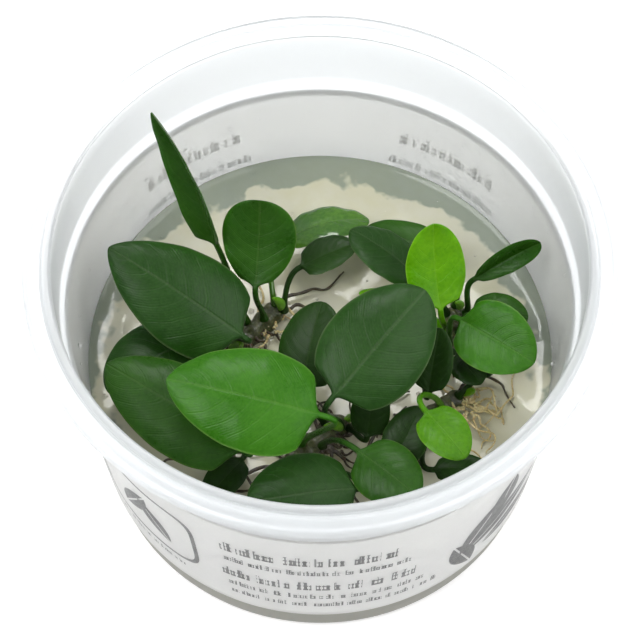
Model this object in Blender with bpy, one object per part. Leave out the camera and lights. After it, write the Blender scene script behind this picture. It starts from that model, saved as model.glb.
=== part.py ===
"""Dwarf broad-leaf aquarium plants growing on nutrient gel in a round culture cup.

Frame: the cup stands on z = 0, its axis is the z axis, +Z is up, units are metres.
Every sub-part is one closed body and 0.3 mm of air is left between neighbours.
"""
import math

import bmesh
import bpy
from mathutils import Vector

MM = 0.001

# ---------------------------------------------------------------- driving sizes, mm
GAP = 0.35                 # air between neighbouring bodies
CUP_SIDES = 48             # facets round the cup
FLANGE_RADIUS = 50.0       # widest part of the cup
CUP_HEIGHT = 66.0
SKIRT_BOTTOM = 63.5        # lower edge of the rim's turned-down skirt
MOUTH_RADIUS = 45.1        # inside radius at the very top
STEP_HEIGHT = 51.4         # ledge where the collar meets the tapered body
STEP_RADIUS = 43.5
FLOOR_RADIUS = 39.4
FLOOR_THICKNESS = 1.0
LABEL_BOTTOM = 8.5
LABEL_TOP = 50.0
LABEL_THICKNESS = 0.35
GEL_TOP = 31.0
PETIOLE_RADIUS = 0.6
BLADE_THICKNESS = 0.55
BLADE_BELLY = 0.44         # power that sets how fast a blade widens at its foot
BLADE_TAPER = 0.56         # power that sets how fast it narrows to its tip
ROOT_RADIUS = 0.45
RING = 8                   # points round a leaf, a rhizome or a root

# Rhizomes: start point, end point, radius.
RHIZOMES = {
    "rhizome_back_left": ((-17.0, 0.5, 31.6), (-6.5, 8.5, 33.0), 2.1),
    "rhizome_front": ((-6.0, -22.0, 31.6), (5.0, -14.5, 33.0), 2.2),
    "rhizome_right": ((20.5, -2.5, 31.6), (25.5, 8.0, 33.2), 2.1),
    "rhizome_right_front": ((15.5, -14.5, 31.4), (26.0, -9.5, 32.4), 1.9),
    "rhizome_left_front": ((-25.5, -6.0, 31.5), (-16.0, -15.0, 32.8), 2.0),
}

# Leaves: name, rhizome, place along it, lean of the stalk in degrees, foot of the
# blade, tip of the blade, width, arch, roll in degrees, fold, curl.
LEAVES = [
    ("leaf_tall_rolled", "rhizome_back_left", 0.45, 55, (-18.3, 14.0, 45.5), (-29.0, 26.5, 69.5),
     10.0, -1.0, -75, 0.85, 1.5),
    ("leaf_left_broad", "rhizome_back_left", 0.10, 20, (-13.4, -3.2, 43.5), (-37.0, 10.0, 52.0),
     18.0, 2.2, -12, -0.12, 1.4),
    ("leaf_back_upright", "rhizome_back_left", 0.65, -10, (-11.5, 6.8, 43.0), (-10.5, 17.5, 55.5),
     13.5, -1.0, -5, 0.14, 0.5),
    ("leaf_back_wet", "rhizome_back_left", 0.90, 35, (-6.5, 19.5, 38.0), (9.0, 24.0, 38.0),
     9.0, 2.2, -15, 0.10, 0.5),
    ("leaf_back_small", "rhizome_back_left", 0.95, -35, (-3.5, 12.6, 40.5), (6.5, 16.0, 43.0),
     8.0, 0.8, -10, 0.20, 0.4),
    ("leaf_front_bright", "rhizome_front", 0.30, 20, (0.0, -23.4, 53.5), (-25.8, -17.4, 55.0),
     18.4, 2.0, -12, -0.10, 1.4),
    ("leaf_centre_dark", "rhizome_front", 0.85, -25, (2.2, -18.8, 51.0), (18.0, -0.8, 56.0),
     18.2, 1.8, 14, -0.14, 1.0),
    ("leaf_front_low", "rhizome_front", 0.08, -45, (6.3, -32.0, 42.6), (-12.2, -35.8, 45.6),
     15.0, 2.0, -12, -0.14, 0.8),
    ("leaf_front_right", "rhizome_front", 0.50, -50, (6.5, -26.0, 45.0), (16.5, -35.0, 46.0),
     11.0, 1.2, 12, -0.10, 0.6),
    ("leaf_centre_inner", "rhizome_front", 0.70, 40, (-3.0, -11.0, 38.5), (0.5, 2.5, 46.0),
     12.5, 1.2, -20, 0.10, 0.5),
    ("leaf_centre_shaded", "rhizome_front", 0.95, -60, (8.2, -19.6, 37.0), (9.5, -12.5, 44.5),
     7.0, 0.5, 0, 0.15, 0.3),
    ("leaf_right_upright", "rhizome_right", 0.50, 20, (21.2, 1.6, 44.5), (19.7, 11.8, 57.0),
     11.0, -1.5, 5, 0.22, 0.5),
    ("leaf_right_curled", "rhizome_right", 0.95, -50, (27.5, 9.5, 41.5), (39.0, 13.0, 48.5),
     6.0, -1.0, 40, 0.80, 1.2),
    ("leaf_right_broad", "rhizome_right", 0.22, -50, (24.6, 0.0, 44.0), (37.2, -9.2, 45.0),
     13.5, 1.0, 20, 0.40, 0.8),
    ("leaf_right_behind", "rhizome_right", 0.60, -55, (26.8, 4.2, 38.0), (37.2, 3.2, 39.0),
     8.5, 1.0, 12, 0.05, 0.5),
    ("leaf_back_centre", "rhizome_right", 0.80, 50, (18.0, 10.0, 40.5), (5.5, 19.0, 43.0),
     10.5, 1.2, 15, 0.05, 0.6),
    ("leaf_back_right", "rhizome_right", 0.98, 30, (24.5, 15.5, 37.8), (8.5, 23.0, 37.0),
     8.0, 1.4, -5, 0.10, 0.6),
    ("leaf_right_inner", "rhizome_right", 0.00, -10, (24.2, -4.0, 38.5), (28.2, -10.5, 39.5),
     6.5, 0.5, 0, 0.20, 0.3),
    ("leaf_centre_tip", "rhizome_right", 0.60, 65, (16.0, 7.3, 36.5), (7.0, 9.0, 37.5),
     4.0, 0.4, 10, 0.20, 0.3),
    ("leaf_centre_right", "rhizome_right", 0.03, 45, (19.0, -12.0, 39.0), (21.0, -2.5, 45.5),
     7.5, 0.5, -15, 0.20, 0.4),
    ("leaf_small_lime", "rhizome_right_front", 0.55, -25, (18.0, -20.0, 48.0), (24.5, -29.0, 48.5),
     8.5, 1.0, 5, 0.20, 0.5),
    ("leaf_front_shaded", "rhizome_right_front", 0.12, 0, (12.5, -26.0, 39.0), (17.5, -16.8, 43.5),
     8.0, 0.5, 0, 0.15, 0.3),
    ("leaf_front_edge", "rhizome_right_front", 0.35, -60, (19.5, -26.5, 38.5), (29.0, -27.0, 40.5),
     5.5, 0.5, 0, 0.20, 0.3),
    ("leaf_right_small", "rhizome_right_front", 0.90, 10, (28.0, -7.0, 36.0), (32.0, -2.5, 38.0),
     4.5, 0.3, 0, 0.20, 0.3),
    ("leaf_left_front", "rhizome_left_front", 0.85, -40, (-13.0, -25.6, 44.0), (-36.8, -10.6, 47.5),
     16.0, 2.0, -8, -0.08, 1.2),
    ("leaf_left_edge", "rhizome_left_front", 0.30, 15, (-22.5, -2.0, 40.5), (-37.3, -12.0, 40.0),
     14.5, 1.8, -6, -0.05, 0.8),
    ("leaf_left_back", "rhizome_left_front", 0.05, 40, (-24.0, 1.5, 38.0), (-31.0, 8.0, 38.5),
     6.0, 0.5, 10, 0.20, 0.3),
    ("leaf_left_low", "rhizome_left_front", 0.97, 30, (-13.5, -22.5, 34.5), (-20.0, -31.0, 35.0),
     6.5, 0.5, 0, 0.15, 0.3),
]

# Roots: path points. The last ones of each path run down into the gel.
ROOTS = {
    "root_front_a": ((-4.5, -18.0, 29.6), (-7.5, -14.0, 24.0), (-9.0, -13.0, 14.0), (-12.0, -16.0, 5.5)),
    "root_front_b": ((1.5, -20.5, 29.8), (4.5, -26.0, 23.0), (4.0, -32.0, 14.0), (-1.0, -35.0, 5.0)),
    "root_back_a": ((-12.0, 7.5, 29.8), (-14.0, 13.5, 22.0), (-20.0, 17.0, 13.0), (-25.0, 16.0, 6.0)),
    "root_back_b": ((-8.0, 3.0, 30.0), (-3.0, 0.0, 23.0), (3.0, 1.5, 14.0), (5.0, 6.0, 6.0)),
    "root_right_a": ((25.0, 1.0, 29.6), (29.0, 3.0, 22.0), (30.5, 8.0, 13.0), (27.0, 14.0, 6.0)),
    "root_right_b": ((20.0, 3.0, 29.8), (15.0, 9.0, 22.0), (14.0, 16.0, 14.0), (18.0, 22.0, 6.0)),
    "root_right_c": ((22.5, -13.5, 29.6), (26.5, -18.5, 23.0), (26.0, -24.0, 14.0), (20.0, -29.0, 5.0)),
    "root_left_a": ((-23.0, -11.5, 29.6), (-28.0, -15.0, 23.0), (-30.0, -17.0, 14.0), (-25.0, -25.0, 5.0)),
}

COLOURS = {
    "plastic": ((0.86, 0.88, 0.86, 1.0), 0.35),
    "label": ((0.90, 0.90, 0.89, 1.0), 0.5),
    "gel": ((0.62, 0.60, 0.42, 1.0), 0.15),
    "rhizome": ((0.20, 0.24, 0.07, 1.0), 0.5),
    "leaf": ((0.07, 0.19, 0.03, 1.0), 0.35),
    "root": ((0.55, 0.50, 0.33, 1.0), 0.6),
}


# ---------------------------------------------------------------- shared helpers
def clear_file():
    """Remove every object that the empty start file holds."""
    for obj in list(bpy.data.objects):
        bpy.data.objects.remove(obj, do_unlink=True)


def finish(bm, name, look):
    """Turn a bmesh in millimetres into a named object in metres with its material."""
    bmesh.ops.recalc_face_normals(bm, faces=bm.faces[:])
    bmesh.ops.scale(bm, vec=(MM, MM, MM), verts=bm.verts[:])
    mesh = bpy.data.meshes.new(name)
    bm.to_mesh(mesh)
    bm.free()
    obj = bpy.data.objects.new(name, mesh)
    bpy.context.scene.collection.objects.link(obj)
    colour, roughness = COLOURS[look]
    material = bpy.data.materials.new(name + "_mat")
    material.use_nodes = True
    shader = material.node_tree.nodes["Principled BSDF"]
    shader.inputs["Base Color"].default_value = colour
    shader.inputs["Roughness"].default_value = roughness
    mesh.materials.append(material)
    return obj


def revolve(profile, sides):
    """Spin (radius, height) points round z; radius 0 makes one pole vertex."""
    bm = bmesh.new()
    rings = []
    for radius, height in profile:
        if radius == 0.0:
            rings.append([bm.verts.new((0.0, 0.0, height))])
            continue
        ring = []
        for i in range(sides):
            turn = 2.0 * math.pi * i / sides
            ring.append(bm.verts.new((radius * math.cos(turn), radius * math.sin(turn), height)))
        rings.append(ring)
    return bm, rings


def skin_rings(bm, rings, closed):
    """Join neighbouring rings with faces; closed also joins the last to the first."""
    pairs = list(zip(rings[:-1], rings[1:]))
    if closed:
        pairs.append((rings[-1], rings[0]))
    for low, high in pairs:
        count = max(len(low), len(high))
        for i in range(count):
            j = (i + 1) % count
            if len(low) == 1:
                bm.faces.new((low[0], high[j], high[i]))
            elif len(high) == 1:
                bm.faces.new((low[i], low[j], high[0]))
            else:
                bm.faces.new((low[i], low[j], high[j], high[i]))


def sweep_rings(rings):
    """Closed body through rings of points: quads between them and one cap at each end."""
    bm = bmesh.new()
    loops = [[bm.verts.new(point) for point in ring] for ring in rings]
    skin_rings(bm, loops, closed=False)
    bm.faces.new(loops[0][::-1])
    bm.faces.new(loops[-1])
    return bm


def wall_radius(height):
    """Inside radius of the cup's tapered body at a height, mm."""
    slope = (STEP_RADIUS - FLOOR_RADIUS) / (STEP_HEIGHT - 2.0)
    return FLOOR_RADIUS + slope * (height - 2.0)


def across(direction, hint):
    """Unit vector square to direction that lies closest to the hint."""
    side = hint - direction * hint.dot(direction)
    return side.normalized()


# ---------------------------------------------------------------- cup, label, gel
def build_cup():
    """The cup: thin tapered body, ledge, straight collar, flat rim with a short skirt."""
    outer_step = STEP_RADIUS + 0.9
    profile = [
        (0.0, 0.0),
        (FLOOR_RADIUS, 0.0),
        (FLOOR_RADIUS + 0.9, 0.9),
        (outer_step, STEP_HEIGHT - 0.6),
        (MOUTH_RADIUS + 0.8, STEP_HEIGHT + 1.0),
        (MOUTH_RADIUS + 0.9, CUP_HEIGHT - 1.1),
        (FLANGE_RADIUS - 0.8, CUP_HEIGHT - 1.1),
        (FLANGE_RADIUS - 0.7, SKIRT_BOTTOM),
        (FLANGE_RADIUS, SKIRT_BOTTOM),
        (FLANGE_RADIUS, CUP_HEIGHT - 0.5),
        (FLANGE_RADIUS - 0.4, CUP_HEIGHT),
        (MOUTH_RADIUS + 0.5, CUP_HEIGHT),
        (MOUTH_RADIUS, CUP_HEIGHT - 0.4),
        (MOUTH_RADIUS - 0.3, STEP_HEIGHT + 1.8),
        (STEP_RADIUS, STEP_HEIGHT),
        (FLOOR_RADIUS, 2.0),
        (FLOOR_RADIUS - 0.9, FLOOR_THICKNESS),
        (0.0, FLOOR_THICKNESS),
    ]
    bm, rings = revolve(profile, CUP_SIDES)
    skin_rings(bm, rings, closed=False)
    return finish(bm, "cup", "plastic")


def build_label():
    """The printed film sleeve round the tapered body."""
    slope = (STEP_RADIUS - FLOOR_RADIUS) / (STEP_HEIGHT - 1.5)
    def outside(height):
        return FLOOR_RADIUS + 0.95 + slope * (height - 0.9) + GAP
    inner = [(outside(LABEL_BOTTOM), LABEL_BOTTOM), (outside(LABEL_TOP), LABEL_TOP)]
    outer = [(radius + LABEL_THICKNESS, height) for radius, height in reversed(inner)]
    bm, rings = revolve(inner + outer, CUP_SIDES)
    skin_rings(bm, rings, closed=True)
    return finish(bm, "label_band", "label")


def build_gel(cutters):
    """The gel block that fills the lower cup, with pockets for what grows in it."""
    profile = [
        (0.0, FLOOR_THICKNESS + GAP),
        (FLOOR_RADIUS - 1.1, FLOOR_THICKNESS + GAP),
        (wall_radius(2.3) - GAP, 2.3),
        (wall_radius(GEL_TOP) - GAP, GEL_TOP),
        (0.0, GEL_TOP),
    ]
    bm, rings = revolve(profile, CUP_SIDES)
    skin_rings(bm, rings, closed=False)
    gel = finish(bm, "gel", "gel")
    for cutter in cutters:
        cutter.hide_render = True
        cutter.display_type = "WIRE"
        pocket = gel.modifiers.new(cutter.name, "BOOLEAN")
        pocket.operation = "DIFFERENCE"
        pocket.solver = "EXACT"
        pocket.object = cutter
    return gel


# ---------------------------------------------------------------- rhizomes and roots
def tube_rings(path, radii):
    """Rings of points round a path of Vectors, one radius for each path point."""
    rings = []
    for i, point in enumerate(path):
        before = path[max(i - 1, 0)]
        after = path[min(i + 1, len(path) - 1)]
        along = (after - before).normalized()
        side = across(along, Vector((0.3, 1.0, 0.2)))
        other = along.cross(side)
        ring = []
        for k in range(RING):
            turn = 2.0 * math.pi * k / RING
            ring.append(point + (side * math.cos(turn) + other * math.sin(turn)) * radii[i])
        rings.append(ring)
    return rings


def rhizome_shape(name, grow):
    """Path and radii of a rhizome; grow adds the pocket's clearance."""
    start, end, radius = RHIZOMES[name]
    start = Vector(start)
    end = Vector(end)
    along = (end - start).normalized()
    stations = (0.0, 0.06, 0.3, 0.5, 0.7, 0.94, 1.0)
    swell = (0.45, 0.85, 1.0, 0.94, 1.0, 0.8, 0.4)
    path = [start.lerp(end, t) for t in stations]
    path[0] -= along * grow
    path[-1] += along * grow
    return path, [radius * k + grow for k in swell]


def build_rhizome(name):
    """One stubby creeping stem, half sunk in the gel."""
    path, radii = rhizome_shape(name, 0.0)
    return finish(sweep_rings(tube_rings(path, radii)), name, "rhizome")


def root_shape(name, grow):
    """Path and radii of a root, thinner towards its end."""
    points = [Vector(p) for p in ROOTS[name]]
    path = []
    for first, last in zip(points[:-1], points[1:]):
        path += [first, first.lerp(last, 0.5)]
    path.append(points[-1])
    radii = [ROOT_RADIUS * (1.0 - 0.06 * i) + grow for i in range(len(path))]
    if grow:
        path[-1] = path[-1] + (path[-1] - path[-2]).normalized() * grow
        path.insert(0, path[0] + Vector((0.0, 0.0, 1.8)))
        radii.insert(0, radii[0])
    return path, radii


def build_root(name):
    """One root running down through the gel."""
    path, radii = root_shape(name, 0.0)
    return finish(sweep_rings(tube_rings(path, radii)), name, "root")


def build_cutters():
    """Enlarged copies of the rhizomes and roots, used only to cut the gel."""
    cutters = []
    for name in RHIZOMES:
        path, radii = rhizome_shape(name, GAP)
        cutters.append(finish(sweep_rings(tube_rings(path, radii)), "cut_" + name, "gel"))
    for name in ROOTS:
        path, radii = root_shape(name, GAP)
        cutters.append(finish(sweep_rings(tube_rings(path, radii)), "cut_" + name, "gel"))
    return cutters


# ---------------------------------------------------------------- leaves
def stalk_start(rhizome, place, lean):
    """Point just clear of the rhizome's upper side and the direction out of it."""
    start, end, radius = RHIZOMES[rhizome]
    start = Vector(start)
    end = Vector(end)
    along = (end - start).normalized()
    up = across(along, Vector((0.0, 0.0, 1.0)))
    left = up.cross(along)
    lean = math.radians(lean)
    out = up * math.cos(lean) + left * math.sin(lean)
    return start.lerp(end, place) + out * (radius + GAP + 0.1), out


def bezier(p0, p1, p2, p3, t):
    """Point on a cubic Bezier curve."""
    q = 1.0 - t
    return p0 * q ** 3 + p1 * (3 * q * q * t) + p2 * (3 * q * t * t) + p3 * t ** 3


def blade_half_width(s, width):
    """Half width of an ovate blade at the fraction s from foot to tip."""
    peak = BLADE_BELLY / (BLADE_BELLY + BLADE_TAPER)
    top = peak ** BLADE_BELLY * (1.0 - peak) ** BLADE_TAPER
    return 0.5 * width * s ** BLADE_BELLY * (1.0 - s) ** BLADE_TAPER / top


def leaf_rings(rhizome, place, lean, foot, tip, width, arch, roll, fold, curl):
    """Rings of a leaf: a round stalk that widens into a thin folded blade."""
    foot = Vector(foot)
    tip = Vector(tip)
    axis = (tip - foot).normalized()
    level = Vector((0.0, 0.0, 1.0)).cross(axis).normalized()
    normal = axis.cross(level)
    roll = math.radians(roll)
    side = level * math.cos(roll) + normal * math.sin(roll)
    normal = axis.cross(side)
    base, out = stalk_start(rhizome, place, lean)
    reach = (foot - base).length
    rise = across(out, Vector((0.0, 0.0, 1.0)))
    bend = (out + rise * 0.6).normalized()
    rings = []
    for t in (0.0, 0.33, 0.66, 0.96):
        args = (base, base + bend * (reach * 0.35), foot - axis * (reach * 0.35), foot)
        point = bezier(*args, t)
        ahead = bezier(*args, min(t + 0.02, 1.0))
        behind = bezier(*args, max(t - 0.02, 0.0))
        along = (ahead - behind).normalized()
        ring_side = across(along, side)
        ring_up = along.cross(ring_side)
        ring = []
        for k in range(RING):
            turn = math.pi - 2.0 * math.pi * k / RING
            ring.append(point + (ring_side * math.cos(turn) + ring_up * math.sin(turn)) * PETIOLE_RADIUS)
        rings.append(ring)
    for s in (0.05, 0.2, 0.42, 0.64, 0.84, 1.0):
        half = max(blade_half_width(s, width), 0.2)
        lift = arch * 4.0 * s * (1.0 - s) + curl * (s ** 3 - s)
        spine = foot.lerp(tip, s) + normal * lift
        thick = BLADE_THICKNESS * (1.0 if s < 0.9 else 0.5)
        ring = []
        for u in (-1.0, -0.5, 0.0, 0.5, 1.0, 0.5, 0.0, -0.5):
            under = len(ring) > 4
            height = fold * half * abs(u)
            if abs(u) < 1.0:
                height += -0.5 * thick if under else 0.5 * thick
            spread = half * u / math.sqrt(1.0 + fold * fold)
            ring.append(spine + side * spread + normal * height / math.sqrt(1.0 + fold * fold))
        rings.append(ring)
    return rings


def build_leaf(name, *shape):
    """One leaf with its stalk."""
    return finish(sweep_rings(leaf_rings(*shape)), name, "leaf")


def main():
    """Build every sub-part."""
    clear_file()
    build_cup()
    build_label()
    build_gel(build_cutters())
    for name in RHIZOMES:
        build_rhizome(name)
    for name in ROOTS:
        build_root(name)
    for leaf in LEAVES:
        build_leaf(*leaf)


main()
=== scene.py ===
"""Dwarf aquarium plantlets on nutrient gel in an open, milky culture cup.

Sizes inside the classes are millimetres in the row frame, with the cup's underside at
z = 0 and its axis on z. Meshes are worked out with numpy and stored in metres.
"""
from __future__ import annotations

import logging
import math
from dataclasses import dataclass, field
from enum import Enum

import bpy
import numpy as np
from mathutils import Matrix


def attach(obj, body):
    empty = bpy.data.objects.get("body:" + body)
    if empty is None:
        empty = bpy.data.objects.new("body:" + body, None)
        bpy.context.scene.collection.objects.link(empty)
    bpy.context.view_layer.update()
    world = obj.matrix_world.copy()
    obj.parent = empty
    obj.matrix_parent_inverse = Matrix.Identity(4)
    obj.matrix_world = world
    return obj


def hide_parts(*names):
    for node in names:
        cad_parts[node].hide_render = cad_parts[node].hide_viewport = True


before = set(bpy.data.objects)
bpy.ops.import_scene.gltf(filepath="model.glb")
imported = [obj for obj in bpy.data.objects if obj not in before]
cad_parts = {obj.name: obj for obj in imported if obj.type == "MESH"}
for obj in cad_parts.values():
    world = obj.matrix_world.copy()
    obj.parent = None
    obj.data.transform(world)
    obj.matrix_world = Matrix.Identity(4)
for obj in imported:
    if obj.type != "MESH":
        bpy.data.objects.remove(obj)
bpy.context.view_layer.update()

MM = 0.001
GOLDEN_ANGLE = 2.39996  # radians; spreads points evenly round a disc
WALL_SLOPE = 0.0830  # how much the cup's body widens for each millimetre of height
RIM_HEIGHT = 66.0
LOG = logging.getLogger("culture_cup")
Point = tuple[float, float, float]
Colour = tuple[float, float, float]


# ------------------------------------------------------------------ numpy surfaces
def unit(v: np.ndarray) -> np.ndarray:
    """Return the vectors along the last axis at length one."""
    return v / np.maximum(np.linalg.norm(v, axis=-1, keepdims=True), 1e-12)


def square_to(direction: np.ndarray, hint: np.ndarray) -> np.ndarray:
    """Return the part of hint that is square to direction, at length one."""
    along = np.sum(direction * hint, axis=-1, keepdims=True)
    return unit(hint - direction * along)


def ease(low: float, high: float, x: np.ndarray) -> np.ndarray:
    """Return a smooth step from 0 at low to 1 at high: 3t squared minus 2t cubed."""
    t = np.clip((x - low) / (high - low), 0.0, 1.0)
    return t * t * (3.0 - 2.0 * t)


def bezier(a: np.ndarray, b: np.ndarray, c: np.ndarray, d: np.ndarray, t: np.ndarray) -> np.ndarray:
    """Return points on the cubic Bezier curve a, b, c, d at the parameters t.

    Args:
        a: First point.
        b: First handle.
        c: Second handle.
        d: Last point.
        t: Parameters from 0 to 1.

    Returns:
        Points, one for each parameter.
    """
    t = t[:, None]
    q = 1.0 - t
    return a * q ** 3 + b * (3 * q * q * t) + c * (3 * q * t * t) + d * t ** 3


def spline(points: np.ndarray, count: int) -> np.ndarray:
    """Return count points on a Catmull-Rom curve through the given points.

    Each stretch is the cubic whose slopes at its ends are half the chord between
    the neighbours on either side.

    Args:
        points: Points to pass through, shape (n, 3).
        count: How many points to return.

    Returns:
        Points, shape (count, 3).
    """
    full = np.vstack([2 * points[0] - points[1], points, 2 * points[-1] - points[-2]])
    where = np.linspace(0.0, len(points) - 1.0, count)
    k = np.minimum(where.astype(int), len(points) - 2)
    t = (where - k)[:, None]
    p0, p1, p2, p3 = full[k], full[k + 1], full[k + 2], full[k + 3]
    return 0.5 * (2 * p1 + (p2 - p0) * t + (2 * p0 - 5 * p1 + 4 * p2 - p3) * t ** 2
                  + (3 * p1 - p0 - 3 * p2 + p3) * t ** 3)


@dataclass
class Surface:
    """A grid of points, rows by columns, whose columns close into rings.

    Attributes:
        grid: Points in millimetres, shape (rows, columns, 3).
        uv: Two numbers for each point, shape (rows, columns, 2).
        side: One number for each point: 1 on the upper face, 0 underneath.
        capped: True closes each end ring with a fan to its middle.
    """

    grid: np.ndarray
    uv: np.ndarray
    side: np.ndarray
    capped: bool = True

    def parts(self) -> tuple[np.ndarray, np.ndarray, np.ndarray, np.ndarray, np.ndarray]:
        """Return vertices, quads, triangles, vertex UVs and vertex sides.

        Returns:
            The five arrays, ready for one mesh.
        """
        rows, cols = self.grid.shape[:2]
        index = np.arange(rows * cols).reshape(rows, cols)
        nxt = np.roll(index, -1, axis=1)
        quads = np.stack([index[:-1], nxt[:-1], nxt[1:], index[1:]], axis=-1).reshape(-1, 4)
        verts = self.grid.reshape(-1, 3)
        uv = self.uv.reshape(-1, 2)
        side = self.side.reshape(-1)
        tris = np.zeros((0, 3), int)
        if self.capped:
            ends = np.stack([self.grid[0].mean(0), self.grid[-1].mean(0)])
            first, last = rows * cols, rows * cols + 1
            low = np.stack([np.full(cols, first), nxt[0], index[0]], axis=-1)
            high = np.stack([np.full(cols, last), index[-1], nxt[-1]], axis=-1)
            tris = np.vstack([low, high])
            verts = np.vstack([verts, ends])
            uv = np.vstack([uv, self.uv[0].mean(0), self.uv[-1].mean(0)])
            side = np.append(side, [self.side[0].mean(), self.side[-1].mean()])
        return verts, quads, tris, uv, side


def make_piece(name: str, surfaces: list[Surface], nodes: list[str],
               material: bpy.types.Material) -> bpy.types.Object:
    """Join surfaces into one object, with its UV map and its "side" attribute.

    Args:
        name: Name of the piece.
        surfaces: Ring grids that make it up.
        nodes: CAD nodes it stands for, or an empty list.
        material: Its finish.

    Returns:
        The new object, riding on the root body.
    """
    verts, faces, uvs, sides = [], [], [], []
    offset = 0
    for surface in surfaces:
        v, quads, tris, uv, side = surface.parts()
        verts.append(v)
        faces += (quads + offset).tolist() + (tris + offset).tolist()
        uvs.append(uv)
        sides.append(side)
        offset += len(v)
    mesh = bpy.data.meshes.new(name)
    mesh.from_pydata((np.vstack(verts) * MM).tolist(), [], faces)
    mesh.update()
    loops = np.zeros(len(mesh.loops), np.int32)
    mesh.loops.foreach_get("vertex_index", loops)
    layer = mesh.uv_layers.new(name="UVMap")
    layer.data.foreach_set("uv", np.vstack(uvs)[loops].astype(np.float32).ravel())
    attribute = mesh.attributes.new("side", "FLOAT", "POINT")
    attribute.data.foreach_set("value", np.concatenate(sides).astype(np.float32))
    mesh.polygons.foreach_set("use_smooth", np.ones(len(mesh.polygons), bool))
    mesh.materials.append(material)
    piece = bpy.data.objects.new(name, mesh)
    bpy.context.scene.collection.objects.link(piece)
    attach(piece, "root")
    if nodes:
        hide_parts(*nodes)
    LOG.info("%s: %d vertices", name, len(mesh.vertices))
    return piece


def rounded(corners: list[tuple[float, float, float]], steps: int = 5) -> np.ndarray:
    """Return (radius, height) points of a profile with rounded corners.

    Args:
        corners: (radius, height, fillet) of each corner.
        steps: Points on each fillet, laid on the quadratic Bezier curve that starts and
            ends one fillet away from the corner.

    Returns:
        Points, shape (n, 2).
    """
    pts = np.array([c[:2] for c in corners])
    out = [pts[:1]]
    t = np.linspace(0.0, 1.0, steps)[:, None]
    for before, here, after, corner in zip(pts[:-2], pts[1:-1], pts[2:], corners[1:-1]):
        a = here + unit(before - here) * corner[2]
        b = here + unit(after - here) * corner[2]
        out.append(a * (1 - t) ** 2 + here * (2 * t * (1 - t)) + b * t ** 2)
    out.append(pts[-1:])
    return np.vstack(out)


def densify(profile: np.ndarray, step: float) -> np.ndarray:
    """Return the profile with points added so that none are further apart than step.

    Args:
        profile: Points, shape (n, 2).
        step: Widest gap left, in millimetres.

    Returns:
        The denser profile.
    """
    gap = np.linalg.norm(np.diff(profile, axis=0), axis=1)
    counts = np.maximum(np.ceil(gap / step).astype(int), 1)
    where = np.concatenate([np.linspace(i, i + 1, n, endpoint=False) for i, n in enumerate(counts)])
    where = np.append(where, len(profile) - 1)
    k = np.arange(len(profile))
    return np.stack([np.interp(where, k, profile[:, 0]), np.interp(where, k, profile[:, 1])], -1)


def turned(profile: np.ndarray, sides: int) -> Surface:
    """Spin a profile once round z: x is r cos a, y is r sin a, and z is the height.

    Args:
        profile: (radius, height) points.
        sides: Points round each ring.

    Returns:
        The spun surface, its ends capped.
    """
    a = np.linspace(0.0, 2 * np.pi, sides, endpoint=False)[None, :]
    r = profile[:, :1]
    z = np.broadcast_to(profile[:, 1:], (len(profile), sides))
    grid = np.stack([r * np.cos(a), r * np.sin(a), z], -1)
    uv = np.stack([np.broadcast_to(a / (2 * np.pi), z.shape), z / RIM_HEIGHT], -1)
    return Surface(grid, uv, np.ones(z.shape))


def tube(path: np.ndarray, radius: np.ndarray, cols: int, hint: Point = (0.3, 1.0, 0.2)) -> Surface:
    """Carry a circle along a path.

    Each ring is the path point plus radius times (side cos a + other sin a), where side is
    the hint squared to the path's direction and other is square to both.

    Args:
        path: Points, shape (n, 3).
        radius: One radius for each point, or one for each point of each ring.
        cols: Points round a ring.
        hint: Rough direction of the first point of each ring.

    Returns:
        The closed tube.
    """
    along = unit(np.gradient(path, axis=0))
    side = square_to(along, np.broadcast_to(np.array(hint), path.shape))
    other = np.cross(along, side)
    a = np.linspace(0.0, 2 * np.pi, cols, endpoint=False)
    ring = side[:, None] * np.cos(a)[None, :, None] + other[:, None] * np.sin(a)[None, :, None]
    size = radius if radius.ndim == 2 else radius[:, None]
    grid = path[:, None] + ring * size[..., None]
    length = np.linspace(0.0, 1.0, len(path))[:, None] + 0.0 * a[None, :]
    uv = np.stack([np.broadcast_to(0.5 + 0.5 * np.cos(a), length.shape), length], -1)
    return Surface(grid, uv, np.broadcast_to(0.5 + 0.5 * np.sin(a), length.shape))


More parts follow.
